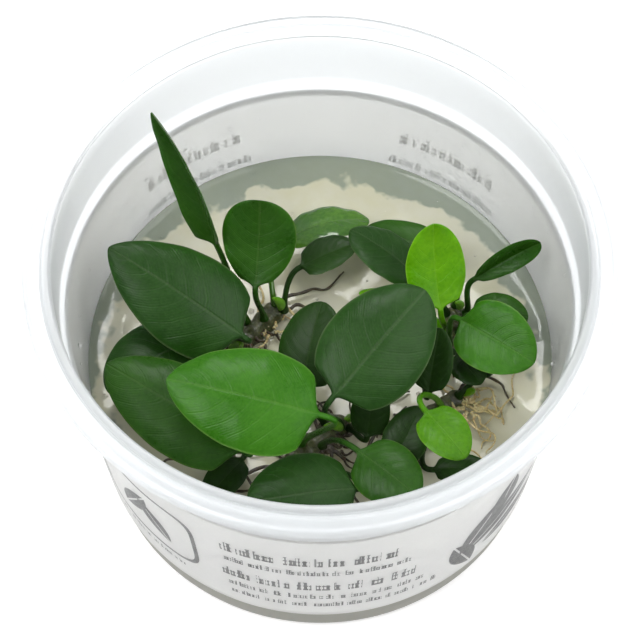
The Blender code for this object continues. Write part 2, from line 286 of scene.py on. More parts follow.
# ------------------------------------------------------------------ node helpers
class Wires:
    """Short calls that add and join shader nodes in one tree."""

    def __init__(self, tree: bpy.types.NodeTree) -> None:
        """Keep the tree the nodes go into."""
        self.tree = tree

    def put(self, socket: bpy.types.NodeSocket, value: object) -> None:
        """Join value to the socket if it is a socket, or else store it there.

        Args:
            socket: Socket to fill.
            value: A socket or a plain value.
        """
        if isinstance(value, bpy.types.NodeSocket):
            self.tree.links.new(value, socket)
        else:
            socket.default_value = value

    def node(self, kind: str, **settings: object) -> bpy.types.Node:
        """Add a node of a kind and set its properties.

        Args:
            kind: Type name of the node.
            **settings: Properties and their values.

        Returns:
            The new node.
        """
        made = self.tree.nodes.new(kind)
        for key, value in settings.items():
            setattr(made, key, value)
        return made

    def math(self, operation: str, *values: object) -> bpy.types.NodeSocket:
        """Add a Math node and return its result.

        Args:
            operation: Name of the operation.
            *values: Sockets or numbers, in order.

        Returns:
            The result.
        """
        made = self.node("ShaderNodeMath", operation=operation)
        for socket, value in zip(made.inputs, values):
            self.put(socket, value)
        return made.outputs[0]

    def step(self, value: object, low: float, high: float) -> bpy.types.NodeSocket:
        """Return a smooth step of value from 0 at low to 1 at high.

        Args:
            value: Socket or number that is looked at.
            low: Value that gives 0.
            high: Value that gives 1.

        Returns:
            A value from 0 to 1.
        """
        made = self.node("ShaderNodeMapRange", interpolation_type="SMOOTHSTEP")
        self.put(made.inputs["Value"], value)
        made.inputs["From Min"].default_value = low
        made.inputs["From Max"].default_value = high
        return made.outputs["Result"]

    def mix(self, factor: object, first: object, second: object) -> bpy.types.NodeSocket:
        """Return a blend of two colours.

        Args:
            factor: 0 keeps the first colour and 1 the second.
            first: A colour or its socket.
            second: A colour or its socket.

        Returns:
            The blended colour.
        """
        made = self.node("ShaderNodeMix", data_type="RGBA")
        self.put(made.inputs[0], factor)
        self.put(made.inputs[6], first)
        self.put(made.inputs[7], second)
        return made.outputs[2]

    def noise(self, vector: object, scale: float, detail: float = 3.0,
              rough: float = 0.5) -> bpy.types.NodeSocket:
        """Return the value of a noise texture.

        Args:
            vector: Where the noise is read.
            scale: Waves for each unit of the vector.
            detail: Number of finer layers.
            rough: Weight of the finer layers.

        Returns:
            A value from 0 to 1.
        """
        made = self.node("ShaderNodeTexNoise")
        self.put(made.inputs["Vector"], vector)
        made.inputs["Scale"].default_value = scale
        made.inputs["Detail"].default_value = detail
        made.inputs["Roughness"].default_value = rough
        return made.outputs["Fac"]

    def flat(self, vector: object) -> bpy.types.NodeSocket:
        """Return the vector with its height set to zero.

        Args:
            vector: The vector to flatten.

        Returns:
            The flattened vector.
        """
        made = self.node("ShaderNodeVectorMath", operation="MULTIPLY")
        self.put(made.inputs[0], vector)
        made.inputs[1].default_value = (1.0, 1.0, 0.0)
        return made.outputs[0]

    def bump(self, height: object, strength: float, distance: float) -> bpy.types.NodeSocket:
        """Return a normal bent by the height.

        Args:
            height: Height of the relief, 0 to 1.
            strength: Share of the bend that is used.
            distance: Height in metres of one unit.

        Returns:
            The bent normal.
        """
        made = self.node("ShaderNodeBump")
        self.put(made.inputs["Height"], height)
        made.inputs["Strength"].default_value = strength
        made.inputs["Distance"].default_value = distance
        return made.outputs["Normal"]


def rgba(colour: Colour) -> tuple[float, float, float, float]:
    """Return the colour with alpha one."""
    return (*colour, 1.0)


def new_material(name: str) -> tuple[bpy.types.Material, Wires, bpy.types.Node]:
    """Return a new material, its wires and its Principled shader.

    Args:
        name: Name of the material.

    Returns:
        The material, its wires and its shader.
    """
    material = bpy.data.materials.new(name)
    material.use_nodes = True
    wires = Wires(material.node_tree)
    return material, wires, material.node_tree.nodes["Principled BSDF"]


def new_group(name: str, inputs: dict[str, tuple[str, object]],
              outputs: dict[str, str]) -> tuple[bpy.types.NodeTree, bpy.types.Node, bpy.types.Node]:
    """Make a shader node group with named sockets.

    Args:
        name: Name of the group.
        inputs: Socket name to its type and its default.
        outputs: Socket name to its type.

    Returns:
        The group, its input node and its output node.
    """
    group = bpy.data.node_groups.new(name, "ShaderNodeTree")
    for key, (kind, default) in inputs.items():
        socket = group.interface.new_socket(name=key, in_out="INPUT", socket_type=kind)
        if default is not None:
            socket.default_value = default
    for key, kind in outputs.items():
        group.interface.new_socket(name=key, in_out="OUTPUT", socket_type=kind)
    return group, group.nodes.new("NodeGroupInput"), group.nodes.new("NodeGroupOutput")


VECTOR, FLOAT, RGBA = "NodeSocketVector", "NodeSocketFloat", "NodeSocketColor"


def vein_group() -> bpy.types.NodeTree:
    """Build the leaf's vein pattern, worked out from across (x) and along (y) of the UV map.

    Side veins are lines of equal phase, where the phase is along minus a sweep that grows
    with the distance from the midrib, so that they leave it slanting and curve to the tip.

    Returns:
        The group, with Midrib, Veins, Edge and Height outputs.
    """
    group, given, out = new_group(
        "leaf_veins",
        {"UV": (VECTOR, None), "Count": (FLOAT, 7.0), "Sweep": (FLOAT, 0.3)},
        {"Midrib": FLOAT, "Veins": FLOAT, "Edge": FLOAT, "Height": FLOAT})
    w = Wires(group)
    split = w.node("ShaderNodeSeparateXYZ")
    w.put(split.inputs[0], given.outputs["UV"])
    across = w.math("ABSOLUTE", w.math("MULTIPLY_ADD", split.outputs[0], 2.0, -1.0))
    along = split.outputs[1]
    rest = w.math("SUBTRACT", 1.0, along)
    room = w.math("POWER", w.math("MAXIMUM", w.math("MULTIPLY", along, rest), 0.001), 0.5)
    rib = w.math("SUBTRACT", 1.0, w.step(w.math("MULTIPLY", across, room), 0.004, 0.022))
    swept = w.math("MULTIPLY", w.math("POWER", across, 1.35), given.outputs["Sweep"])
    wobble = w.math("MULTIPLY_ADD", w.noise(given.outputs["UV"], 3.0, 2.0), 0.05, -0.025)
    phase = w.math("ADD", w.math("SUBTRACT", along, swept), wobble)
    coarse = w.math("PINGPONG", w.math("MULTIPLY", phase, given.outputs["Count"]), 0.5)
    coarse = w.math("SUBTRACT", 1.0, w.step(coarse, 0.0, 0.075))
    fine = w.math("PINGPONG",
                  w.math("MULTIPLY", phase, w.math("MULTIPLY", given.outputs["Count"], 6.0)), 0.5)
    fine = w.math("MULTIPLY", w.math("SUBTRACT", 1.0, w.step(fine, 0.0, 0.25)), 0.35)
    inside = w.math("SUBTRACT", 1.0, w.step(across, 0.8, 0.97))
    veins = w.math("MULTIPLY", w.math("MAXIMUM", coarse, fine), inside)
    edge = w.step(across, 0.955, 0.992)
    beat = w.math("MULTIPLY", phase, given.outputs["Count"])
    pucker = w.math("SINE", w.math("MULTIPLY", beat, 2 * math.pi))
    height = w.math("SUBTRACT", w.math("MULTIPLY", pucker, -0.10), w.math("MULTIPLY", veins, 0.4))
    height = w.math("SUBTRACT", height, w.math("MULTIPLY", rib, 1.0))
    for key, value in {"Midrib": rib, "Veins": veins, "Edge": edge, "Height": height}.items():
        w.put(out.inputs[key], value)
    return group


def mottle_group() -> bpy.types.NodeTree:
    """Build soft two-scale mottling: large clouds plus a share of fine grain.

    Returns:
        The group, with one Value output.
    """
    group, given, out = new_group(
        "mottle",
        {"Vector": (VECTOR, None), "Large": (FLOAT, 80.0), "Fine": (FLOAT, 900.0),
         "Share": (FLOAT, 0.3)},
        {"Value": FLOAT})
    w = Wires(group)
    large = w.node("ShaderNodeTexNoise")
    w.put(large.inputs["Vector"], given.outputs["Vector"])
    w.put(large.inputs["Scale"], given.outputs["Large"])
    fine = w.node("ShaderNodeTexNoise")
    w.put(fine.inputs["Vector"], given.outputs["Vector"])
    w.put(fine.inputs["Scale"], given.outputs["Fine"])
    blend = w.node("ShaderNodeMix", data_type="FLOAT")
    w.put(blend.inputs[0], given.outputs["Share"])
    w.put(blend.inputs[2], large.outputs["Fac"])
    w.put(blend.inputs[3], fine.outputs["Fac"])
    w.put(out.inputs["Value"], w.step(blend.outputs[0], 0.3, 0.7))
    return group


@dataclass
class Shop:
    """The shared shader groups, built once."""

    veins: bpy.types.NodeTree = field(default_factory=vein_group)
    mottle: bpy.types.NodeTree = field(default_factory=mottle_group)

    def use(self, w: Wires, group: bpy.types.NodeTree, **values: object) -> bpy.types.Node:
        """Place a group in a material and set its inputs.

        Args:
            w: Wires of the material.
            group: The group to place.
            **values: Input names and their values.

        Returns:
            The placed group.
        """
        placed = w.node("ShaderNodeGroup", node_tree=group)
        for key, value in values.items():
            w.put(placed.inputs[key], value)
        return placed


# ------------------------------------------------------------------ finishes
@dataclass(frozen=True)
class LeafFinish:
    """Colours of one kind of leaf.

    Attributes:
        upper: Main colour of the upper face.
        light: Colour of its paler clouds.
        under: Colour of the underside.
        vein: Colour of the veins.
        rough: Roughness of the waxy skin.
        wet: Weight of the wet clear coat.
    """

    upper: Colour
    light: Colour
    under: Colour
    vein: Colour
    rough: float = 0.34
    wet: float = 0.03

    def material(self, shop: Shop, name: str) -> bpy.types.Material:
        """Return the leaf material with veins, clouds, pale edge and soft wax.

        Args:
            shop: The shared shader groups.
            name: Name of the material.

        Returns:
            The material.
        """
        made, w, shader = new_material(name)
        uv = w.node("ShaderNodeUVMap", uv_map="UVMap").outputs[0]
        here = w.node("ShaderNodeTexCoord").outputs["Object"]
        side = w.node("ShaderNodeAttribute", attribute_name="side").outputs["Fac"]
        veins = shop.use(w, shop.veins, UV=uv, Count=7.0, Sweep=0.30)
        cloud = shop.use(w, shop.mottle, Vector=here, Large=120.0, Fine=1700.0, Share=0.40)
        split = w.node("ShaderNodeSeparateXYZ")
        w.put(split.inputs[0], uv)
        stalk = w.math("SUBTRACT", 1.0, w.step(split.outputs[1], -0.03, 0.05))
        top = w.mix(w.math("MULTIPLY", cloud.outputs[0], 0.75), rgba(self.upper), rgba(self.light))
        top = w.mix(w.math("MULTIPLY", veins.outputs["Veins"], 0.06), top, rgba(self.vein))
        low = w.mix(w.math("MULTIPLY", veins.outputs["Veins"], 0.22), rgba(self.under),
                    rgba(self.vein))
        skin = w.mix(w.step(side, 0.35, 0.65), low, top)
        skin = w.mix(w.math("MULTIPLY", veins.outputs["Midrib"], 0.15), skin, rgba(self.vein))
        skin = w.mix(w.math("MULTIPLY", veins.outputs["Edge"], 0.45), skin, rgba(self.vein))
        skin = w.mix(w.math("MULTIPLY", stalk, 0.7), skin, rgba(tuple(1.2 * c for c in self.upper)))
        w.put(shader.inputs["Base Color"], skin)
        w.put(shader.inputs["Roughness"],
              w.math("MULTIPLY_ADD", cloud.outputs[0], 0.16, self.rough - 0.08))
        swell = w.math("MULTIPLY", w.noise(here, 210.0, 2.0), 2.4)
        grain = w.math("MULTIPLY_ADD", w.noise(here, 2600.0, 2.0), 0.30, swell)
        height = w.math("ADD", veins.outputs["Height"], grain)
        w.put(shader.inputs["Normal"], w.bump(height, 0.45, 0.00020))
        shader.inputs["Coat Weight"].default_value = self.wet
        shader.inputs["Coat Roughness"].default_value = 0.16
        shader.inputs["Specular IOR Level"].default_value = 0.13
        shader.inputs["Subsurface Weight"].default_value = 0.10
        shader.inputs["Subsurface Radius"].default_value = (0.5, 1.0, 0.2)
        shader.inputs["Subsurface Scale"].default_value = 0.0009
        return made


class LeafTone(Enum):
    """The kinds of leaf colour in the cup; one of them is a darker copy that paints shade on leaves
    lying in shadow.
    """

    BRIGHT = LeafFinish((0.018, 0.092, 0.002), (0.036, 0.140, 0.006), (0.050, 0.130, 0.015),
                        (0.110, 0.220, 0.045))
    DEEP = LeafFinish((0.008, 0.034, 0.003), (0.017, 0.056, 0.008), (0.028, 0.070, 0.014),
                      (0.080, 0.115, 0.055), 0.36)
    MIDDLE = LeafFinish((0.011, 0.050, 0.002), (0.022, 0.080, 0.005), (0.036, 0.090, 0.012),
                        (0.070, 0.130, 0.030))
    LIME = LeafFinish((0.060, 0.210, 0.001), (0.120, 0.320, 0.003), (0.100, 0.280, 0.010),
                      (0.200, 0.420, 0.030))
    YOUNG = LeafFinish((0.038, 0.140, 0.001), (0.075, 0.215, 0.003), (0.060, 0.180, 0.010),
                       (0.140, 0.300, 0.030))
    # Painted shade: a darker copy of the leaf colours for leaves that lie in shadow.
    SHADED = LeafFinish((0.007, 0.026, 0.002), (0.013, 0.042, 0.004), (0.020, 0.050, 0.008),
                        (0.040, 0.080, 0.018), 0.38)
    WET = LeafFinish((0.022, 0.085, 0.003), (0.075, 0.190, 0.012), (0.120, 0.260, 0.050),
                     (0.150, 0.300, 0.050), 0.2, 0.9)


@dataclass(frozen=True)
class StemFinish:
    """Colours of a rhizome or a root: the skin, its paler parts and its scars."""

    skin: Colour
    pale: Colour
    scar: Colour
    scale: float = 500.0
    rough: float = 0.45

    def material(self, shop: Shop, name: str) -> bpy.types.Material:
        """Return the mottled, lightly ringed skin.

        Args:
            shop: The shared shader groups.
            name: Name of the material.

        Returns:
            The material.
        """
        made, w, shader = new_material(name)
        uv = w.node("ShaderNodeUVMap", uv_map="UVMap").outputs[0]
        here = w.node("ShaderNodeTexCoord").outputs["Object"]
        split = w.node("ShaderNodeSeparateXYZ")
        w.put(split.inputs[0], uv)
        cloud = shop.use(w, shop.mottle, Vector=here, Large=self.scale, Fine=self.scale * 5.0,
                         Share=0.4)
        ring = w.math("PINGPONG", w.math("MULTIPLY", split.outputs[1], 9.0), 0.5)
        ring = w.math("SUBTRACT", 1.0, w.step(ring, 0.0, 0.10))
        skin = w.mix(cloud.outputs[0], rgba(self.skin), rgba(self.pale))
        skin = w.mix(w.math("MULTIPLY", ring, 0.5), skin, rgba(self.scar))
        w.put(shader.inputs["Base Color"], skin)
        w.put(shader.inputs["Roughness"],
              w.math("MULTIPLY_ADD", cloud.outputs[0], 0.2, self.rough - 0.1))
        w.put(shader.inputs["Normal"], w.bump(cloud.outputs[0], 0.5, 0.0002))
        shader.inputs["Subsurface Weight"].default_value = 0.15
        shader.inputs["Subsurface Scale"].default_value = 0.0008
        shader.inputs["Coat Weight"].default_value = 0.3
        shader.inputs["Coat Roughness"].default_value = 0.15
        return made


RHIZOME_SKIN = StemFinish((0.022, 0.030, 0.006), (0.075, 0.085, 0.022), (0.020, 0.014, 0.005))
ROOT_SKIN = StemFinish((0.42, 0.33, 0.12), (0.66, 0.56, 0.30), (0.16, 0.11, 0.04), 700.0)
# Very dark skin of the old roots: partly their own colour, partly painted shade in the gaps between
# leaves.
OLD_ROOT_AND_SHADE_SKIN = StemFinish((0.022, 0.014, 0.006), (0.075, 0.055, 0.022), (0.012, 0.008, 0.004),
                           700.0)


@dataclass(frozen=True)
class MilkyPlastic:
    """Translucent milky polypropylene."""

    tint: Colour = (0.900, 0.910, 0.912)
    # Painted shade: darker, bluer tint for the collar above 51 mm, toning down its brighter
    # lighting.
    collar: Colour = (0.835, 0.858, 0.875)
    # Painted shade: dark olive band below 8 mm, standing for the dim gel seen through the wall.
    foot: Colour = (0.23, 0.225, 0.145)
    clear: float = 0.77
    rough: float = 0.30

    def material(self, shop: Shop, name: str) -> bpy.types.Material:
        """Return the plastic, slightly uneven in gloss, with faint moulding flow.

        Args:
            shop: The shared shader groups.
            name: Name of the material.

        Returns:
            The material.
        """
        made, w, shader = new_material(name)
        here = w.node("ShaderNodeTexCoord").outputs["Object"]
        cloud = shop.use(w, shop.mottle, Vector=here, Large=45.0, Fine=260.0, Share=0.35)
        deep = tuple(0.985 * c for c in self.tint)
        split = w.node("ShaderNodeSeparateXYZ")
        w.put(split.inputs[0], here)
        body = w.mix(cloud.outputs[0], rgba(self.tint), rgba(deep))
        # Painted shade on the collar above 51 mm.
        body = w.mix(w.step(split.outputs[2], 0.0500, 0.0520), body, rgba(self.collar))
        # Painted shade: the foot band below 8 mm takes the dark olive colour.
        body = w.mix(w.step(split.outputs[2], 0.0080, 0.0088), rgba(self.foot), body)
        w.put(shader.inputs["Base Color"], body)
        w.put(shader.inputs["Roughness"],
              w.math("MULTIPLY_ADD", cloud.outputs[0], 0.04, self.rough - 0.02))
        w.put(shader.inputs["Normal"], w.bump(w.noise(here, 22.0, 1.0), 0.04, 0.0006))
        shader.inputs["Transmission Weight"].default_value = self.clear
        shader.inputs["IOR"].default_value = 1.49
        return made


@dataclass(frozen=True)
class WetGel:
    """Slightly cloudy, wet nutrient gel."""

    tint: Colour = (0.95, 0.935, 0.77)
    deep: Colour = (0.46, 0.44, 0.25)
    # Painted shade: dark ring at the wall that stands for the meniscus refracting the cup's dark
    # side.
    rim: Colour = (0.24, 0.33, 0.28)
    dull: Colour = (0.90, 0.875, 0.63)
    absorbed: Colour = (0.88, 0.89, 0.70)
    clear: float = 0.42
    rough: float = 0.05

    def material(self, shop: Shop, name: str) -> bpy.types.Material:
        """Return the gel: plain absorption, a wet, gently uneven surface, painted meniscus shade.

        Args:
            shop: The shared shader groups.
            name: Name of the material.

        Returns:
            The material.
        """
        made, w, shader = new_material(name)
        here = w.node("ShaderNodeTexCoord").outputs["Object"]
        cloud = shop.use(w, shop.mottle, Vector=here, Large=60.0, Fine=420.0, Share=0.3)
        split = w.node("ShaderNodeSeparateXYZ")
        w.put(split.inputs[0], here)
        body = w.mix(cloud.outputs[0], rgba(self.tint), rgba(self.dull))
        body = w.mix(w.step(split.outputs[2], 0.005, 0.012), rgba(self.deep), body)
        # Painted shade: a dark ring near the wall, reaching further in towards the back, for the
        # meniscus's refraction.
        far = w.node("ShaderNodeVectorMath", operation="LENGTH")
        w.put(far.inputs[0], w.flat(here))
        reach = w.math("MULTIPLY_ADD", split.outputs[1], 0.075, far.outputs["Value"])
        reach = w.math("MULTIPLY_ADD", w.math("SUBTRACT", w.noise(here, 150.0, 3.0), 0.5), 0.012,
                       reach)
        edge = w.math("MULTIPLY", w.step(reach, 0.0388, 0.0400), 0.70)
        body = w.mix(edge, body, rgba(self.rim))
        w.put(shader.inputs["Base Color"], body)
        w.put(shader.inputs["Roughness"],
              w.math("MULTIPLY_ADD", cloud.outputs[0], 0.08, self.rough))
        w.put(shader.inputs["Normal"], w.bump(w.noise(here, 130.0, 3.0), 0.35, 0.0006))
        shader.inputs["Transmission Weight"].default_value = self.clear
        shader.inputs["IOR"].default_value = 1.335
        volume = w.node("ShaderNodeVolumeAbsorption")
        volume.inputs["Color"].default_value = rgba(self.absorbed)
        volume.inputs["Density"].default_value = 8.0
        w.put(made.node_tree.nodes["Material Output"].inputs["Volume"], volume.outputs[0])
        return made


@dataclass(frozen=True)
class ClearWater:
    """Clear drops of condensed water."""

    def material(self, name: str) -> bpy.types.Material:
        """Return plain clear water with the faintest ripple.

        Args:
            name: Name of the material.

        Returns:
            The material.
        """
        made, w, shader = new_material(name)
        here = w.node("ShaderNodeTexCoord").outputs["Object"]
        w.put(shader.inputs["Normal"], w.bump(w.noise(here, 500.0, 1.0), 0.05, 0.0002))
        shader.inputs["Base Color"].default_value = (1.0, 1.0, 1.0, 1.0)
        shader.inputs["Roughness"].default_value = 0.02
        shader.inputs["Transmission Weight"].default_value = 1.0
        shader.inputs["IOR"].default_value = 1.333
        return made


@dataclass(frozen=True)
class PrintedFilm:
    """White translucent film with plain grey marks.

    Attributes:
        film: Colour of the bare film.
        ink: Colour of the marks.
        clear: Share of light that passes through.
    """

    film: Colour = (0.96, 0.962, 0.95)
    ink: Colour = (0.012, 0.014, 0.014)
    clear: float = 0.82

    def row(self, w: Wires, x: object, z: object, height: float, tall: float, left: float,
            right: float, grain: float, seed: float) -> bpy.types.NodeSocket:
        """Return one line of word-like bars: noise along x, cut off inside a flat box.

        Args:
            w: Wires of the material.
            x: Arc length from the front, in millimetres.
            z: Height, in millimetres.
            height: Height of the middle of the line.
            tall: Height of a tall bar.
            left: Start of the line.
            right: End of the line.
            grain: How fast words follow each other.
            seed: Shifts the pattern.

        Returns:
            1 on a bar and 0 elsewhere.
        """
        line = w.node("ShaderNodeTexNoise", noise_dimensions="1D")
        w.put(line.inputs["W"], w.math("MULTIPLY_ADD", x, grain, seed))
        line.inputs["Scale"].default_value = 1.0
        line.inputs["Detail"].default_value = 1.0
        words = w.step(line.outputs["Fac"], 0.44, 0.46)
        tallest = w.node("ShaderNodeTexNoise", noise_dimensions="1D")
        w.put(tallest.inputs["W"], w.math("MULTIPLY_ADD", x, 2.2 / tall, seed * 7.0))
        tallest.inputs["Scale"].default_value = 1.0
        tallest.inputs["Detail"].default_value = 0.0
        crest = w.math("MULTIPLY_ADD", w.step(tallest.outputs["Fac"], 0.55, 0.56), tall * 0.30,
                       tall * 0.18)
        level = w.math("SUBTRACT", z, height)
        stroke = w.node("ShaderNodeTexNoise", noise_dimensions="1D")
        w.put(stroke.inputs["W"], w.math("MULTIPLY_ADD", x, 5.2 / tall ** 0.7, seed * 3.0))
        stroke.inputs["Scale"].default_value = 1.0
        stroke.inputs["Detail"].default_value = 0.0
        upright = w.math("GREATER_THAN", stroke.outputs["Fac"], 0.50)
        beam = w.math("PINGPONG", w.math("SUBTRACT", z, height + tall * 0.06), tall * 0.44)
        beam = w.math("GREATER_THAN", w.math("ABSOLUTE", w.math("SUBTRACT", beam, tall * 0.20)),
                      tall * 0.145)
        bars = w.math("MULTIPLY", beam, w.math("GREATER_THAN", stroke.outputs["Fac"], 0.36))
        words = w.math("MULTIPLY", words, w.math("MAXIMUM", upright, bars))
        above = w.math("GREATER_THAN", level, -0.45 * tall)
        box = w.math("MULTIPLY", w.math("LESS_THAN", level, crest), above)
        box = w.math("MULTIPLY", box, w.math("GREATER_THAN", x, left))
        box = w.math("MULTIPLY", box, w.math("LESS_THAN", x, right))
        return w.math("MULTIPLY", words, box)

    def oval(self, w: Wires, x: object, z: object, cx: float, cz: float, long: float,
             wide: float, turn: float) -> bpy.types.NodeSocket:
        """Return a pointed oval: where (p / long) squared plus |q / wide| stays under one.

        Args:
            w: Wires of the material.
            x: Arc length from the front, in millimetres.
            z: Height, in millimetres.
            cx: Middle, along x.
            cz: Middle, along z.
            long: Half length.
            wide: Half width.
            turn: Degrees from level to the long axis.

        Returns:
            1 inside, but for a bare line along the middle, and 0 outside.
        """
        c, s = math.cos(math.radians(turn)), math.sin(math.radians(turn))
        dx = w.math("SUBTRACT", x, cx)
        dz = w.math("SUBTRACT", z, cz)
        p = w.math("ADD", w.math("MULTIPLY", dx, c), w.math("MULTIPLY", dz, s))
        q = w.math("SUBTRACT", w.math("MULTIPLY", dz, c), w.math("MULTIPLY", dx, s))
        far = w.math("POWER", w.math("DIVIDE", p, long), 2.0)
        far = w.math("ADD", far, w.math("ABSOLUTE", w.math("DIVIDE", q, wide)))
        vein = w.math("GREATER_THAN", w.math("ABSOLUTE", q), wide * 0.07)
        return w.math("MULTIPLY", w.math("SUBTRACT", 1.0, w.step(far, 0.93, 1.03)), vein)

    def frame_line(self, w: Wires, x: object, z: object, cx: float, cz: float, half: float,
                   line: float) -> bpy.types.NodeSocket:
        """Return a rounded square outline: points near one level of |x| to the 5 plus |z| to the 5.

        Args:
            w: Wires of the material.
            x: Arc length from the front, in millimetres.
            z: Height, in millimetres.
            cx: Middle, along x.
            cz: Middle, along z.
            half: Half of one side.
            line: Half thickness of the line.

        Returns:
            1 on the line and 0 elsewhere.
        """
        dx = w.math("POWER", w.math("ABSOLUTE", w.math("DIVIDE", w.math("SUBTRACT", x, cx), half)),
                    5.0)
        dz = w.math("POWER", w.math("ABSOLUTE", w.math("DIVIDE", w.math("SUBTRACT", z, cz), half)),
                    5.0)
        far = w.math("POWER", w.math("ADD", dx, dz), 0.2)
        return w.math("LESS_THAN", w.math("ABSOLUTE", w.math("SUBTRACT", far, 1.0)), line / half)

    def material(self, shop: Shop, name: str) -> bpy.types.Material:
        """Return the film with its marks; x is the arc length in mm from the front.

        Args:
            shop: The shared shader groups.
            name: Name of the material.

        Returns:
            The material.
        """
        made, w, shader = new_material(name)
        here = w.node("ShaderNodeTexCoord").outputs["Object"]
        split = w.node("ShaderNodeSeparateXYZ")
        w.put(split.inputs[0], here)
        turn = w.math("ARCTAN2", split.outputs[0], w.math("MULTIPLY", split.outputs[1], -1.0))
        x = w.math("MULTIPLY", turn, 42.5)
        z = w.math("MULTIPLY", split.outputs[2], 1000.0)
        back = w.math("SUBTRACT", w.math("ABSOLUTE", x), 133.0)
        marks = [
            self.row(w, x, z, 38.5, 4.6, -17.0, 13.0, 0.50, 3.0),
            self.row(w, x, z, 32.6, 2.6, -17.0, 16.0, 0.90, 11.0),
            self.row(w, x, z, 25.2, 4.6, -17.5, 17.0, 0.55, 29.0),
            self.row(w, x, z, 19.4, 2.6, -17.5, 19.0, 0.85, 41.0),
            self.row(w, x, z, 14.8, 2.4, -17.0, 22.0, 0.80, 57.0),
            self.frame_line(w, x, z, -34.0, 30.0, 11.5, 0.45),
            self.oval(w, x, z, -36.0, 31.0, 7.5, 2.6, 62.0),
            self.oval(w, x, z, -31.5, 29.0, 7.0, 2.4, 118.0),
            self.row(w, x, z, 15.5, 1.8, -43.0, -26.0, 1.1, 71.0),
            self.oval(w, x, z, 31.0, 27.0, 10.0, 3.4, 65.0),
            self.oval(w, x, z, 36.5, 24.0, 11.0, 3.6, 35.0),
            self.oval(w, x, z, 41.0, 17.0, 9.0, 3.0, 12.0),
            self.oval(w, x, z, 27.5, 18.0, 8.0, 2.8, 110.0),
            self.oval(w, x, z, 35.5, 33.5, 8.0, 3.0, 80.0),
            self.row(w, back, z, 40.0, 3.4, -34.0, -14.0, 0.7, 83.0),
            self.row(w, back, z, 33.0, 2.2, -36.0, -12.0, 1.0, 91.0),
            self.row(w, back, z, 27.5, 2.2, -36.0, -15.0, 1.0, 97.0),
        ]
        ink = marks[0]
        for mark in marks[1:]:
            ink = w.math("MAXIMUM", ink, mark)
        worn = shop.use(w, shop.mottle, Vector=here, Large=300.0, Fine=2500.0, Share=0.6)
        ink = w.math("MULTIPLY", ink, w.math("MULTIPLY_ADD", worn.outputs[0], 0.12, 0.84))
        w.put(shader.inputs["Base Color"], w.mix(ink, rgba(self.film), rgba(self.ink)))
        w.put(shader.inputs["Roughness"], w.math("MULTIPLY_ADD", worn.outputs[0], 0.08, 0.30))
        w.put(shader.inputs["Normal"], w.bump(w.noise(here, 60.0, 2.0), 0.10, 0.0005))
        shader.inputs["Transmission Weight"].default_value = self.clear
        shader.inputs["IOR"].default_value = 1.25
        return made


# ------------------------------------------------------------------ cup, label, gel
@dataclass
class CultureCup:
    """The moulded cup: tapered body, ledge, straight collar, flat rim with a short skirt."""

    height: float = RIM_HEIGHT
    rim: float = 50.0
    mouth: float = 45.1
    step_height: float = 51.4
    step: float = 43.5
    floor: float = 39.4
    wall: float = 0.9
    sides: int = 256

    def profile(self) -> np.ndarray:
        """Return the closed wall from the middle underneath to the middle inside.

        Returns:
            (radius, height) points.
        """
        top = self.height
        corners = [
            (0.0, 0.35, 0.0), (30.0, 0.35, 2.0), (33.0, 0.0, 1.5), (self.floor + 0.2, 0.0, 0.9),
            (self.floor + self.wall, 1.3, 1.0),
            (self.step + self.wall, self.step_height - 0.6, 0.4),
            (self.mouth + 0.85, self.step_height + 0.9, 0.6), (self.mouth + 0.95, top - 1.2, 0.7),
            (self.rim - 0.85, top - 1.1, 0.5), (self.rim - 0.75, top - 2.5, 0.1),
            (self.rim - 0.05, top - 2.5, 0.1), (self.rim, top - 0.1, 0.8),
            (self.rim - 2.3, top, 0.3), (self.rim - 2.6, top - 0.35, 0.2),
            (self.rim - 3.0, top - 0.35, 0.2),
            (self.rim - 3.3, top - 0.02, 0.3), (self.mouth + 0.25, top - 0.02, 0.3),
            (self.mouth - 0.05, top - 0.7, 0.5),
            (self.mouth - 0.3, self.step_height + 1.8, 0.7), (self.step, self.step_height, 0.7),
            (self.floor, 2.0, 1.2), (self.floor - 1.4, 1.0, 0.8), (0.0, 1.0, 0.0)]
        return densify(rounded(corners), 2.5)

    def build(self, shop: Shop) -> bpy.types.Object:
        """Build and dress the cup.

        Args:
            shop: The shared shader groups.

        Returns:
            The cup.
        """
        profile = self.profile()
        profile[0, 0] = profile[-1, 0] = 0.02
        surface = turned(profile, self.sides)
        return make_piece("cup_body", [surface], ["cup"],
                          MilkyPlastic().material(shop, "milky_plastic"))


@dataclass
class LabelBand:
    """The printed film sleeve round the tapered body."""

    low: float = 8.5
    high: float = 50.0
    thick: float = 0.16
    foot_radius: float = 40.42
    foot_height: float = 0.9
    clearance: float = 0.20
    sides: int = 256

    def build(self, shop: Shop) -> bpy.types.Object:
        """Build the sleeve: a thin closed ring that follows the cup's taper.

        Args:
            shop: The shared shader groups.

        Returns:
            The sleeve.
        """
        z = np.linspace(self.low, self.high, 24)
        r = self.foot_radius + WALL_SLOPE * (z - self.foot_height) + self.clearance
        inner = np.stack([r, z], -1)
        outer = np.stack([r + self.thick, z], -1)[::-1]
        ring = np.vstack([outer[::-1], inner[::-1], outer[-1:]])
        surface = turned(ring, self.sides)
        surface.capped = False
        return make_piece("label_film", [surface], ["label_band"],
                          PrintedFilm().material(shop, "printed_film"))


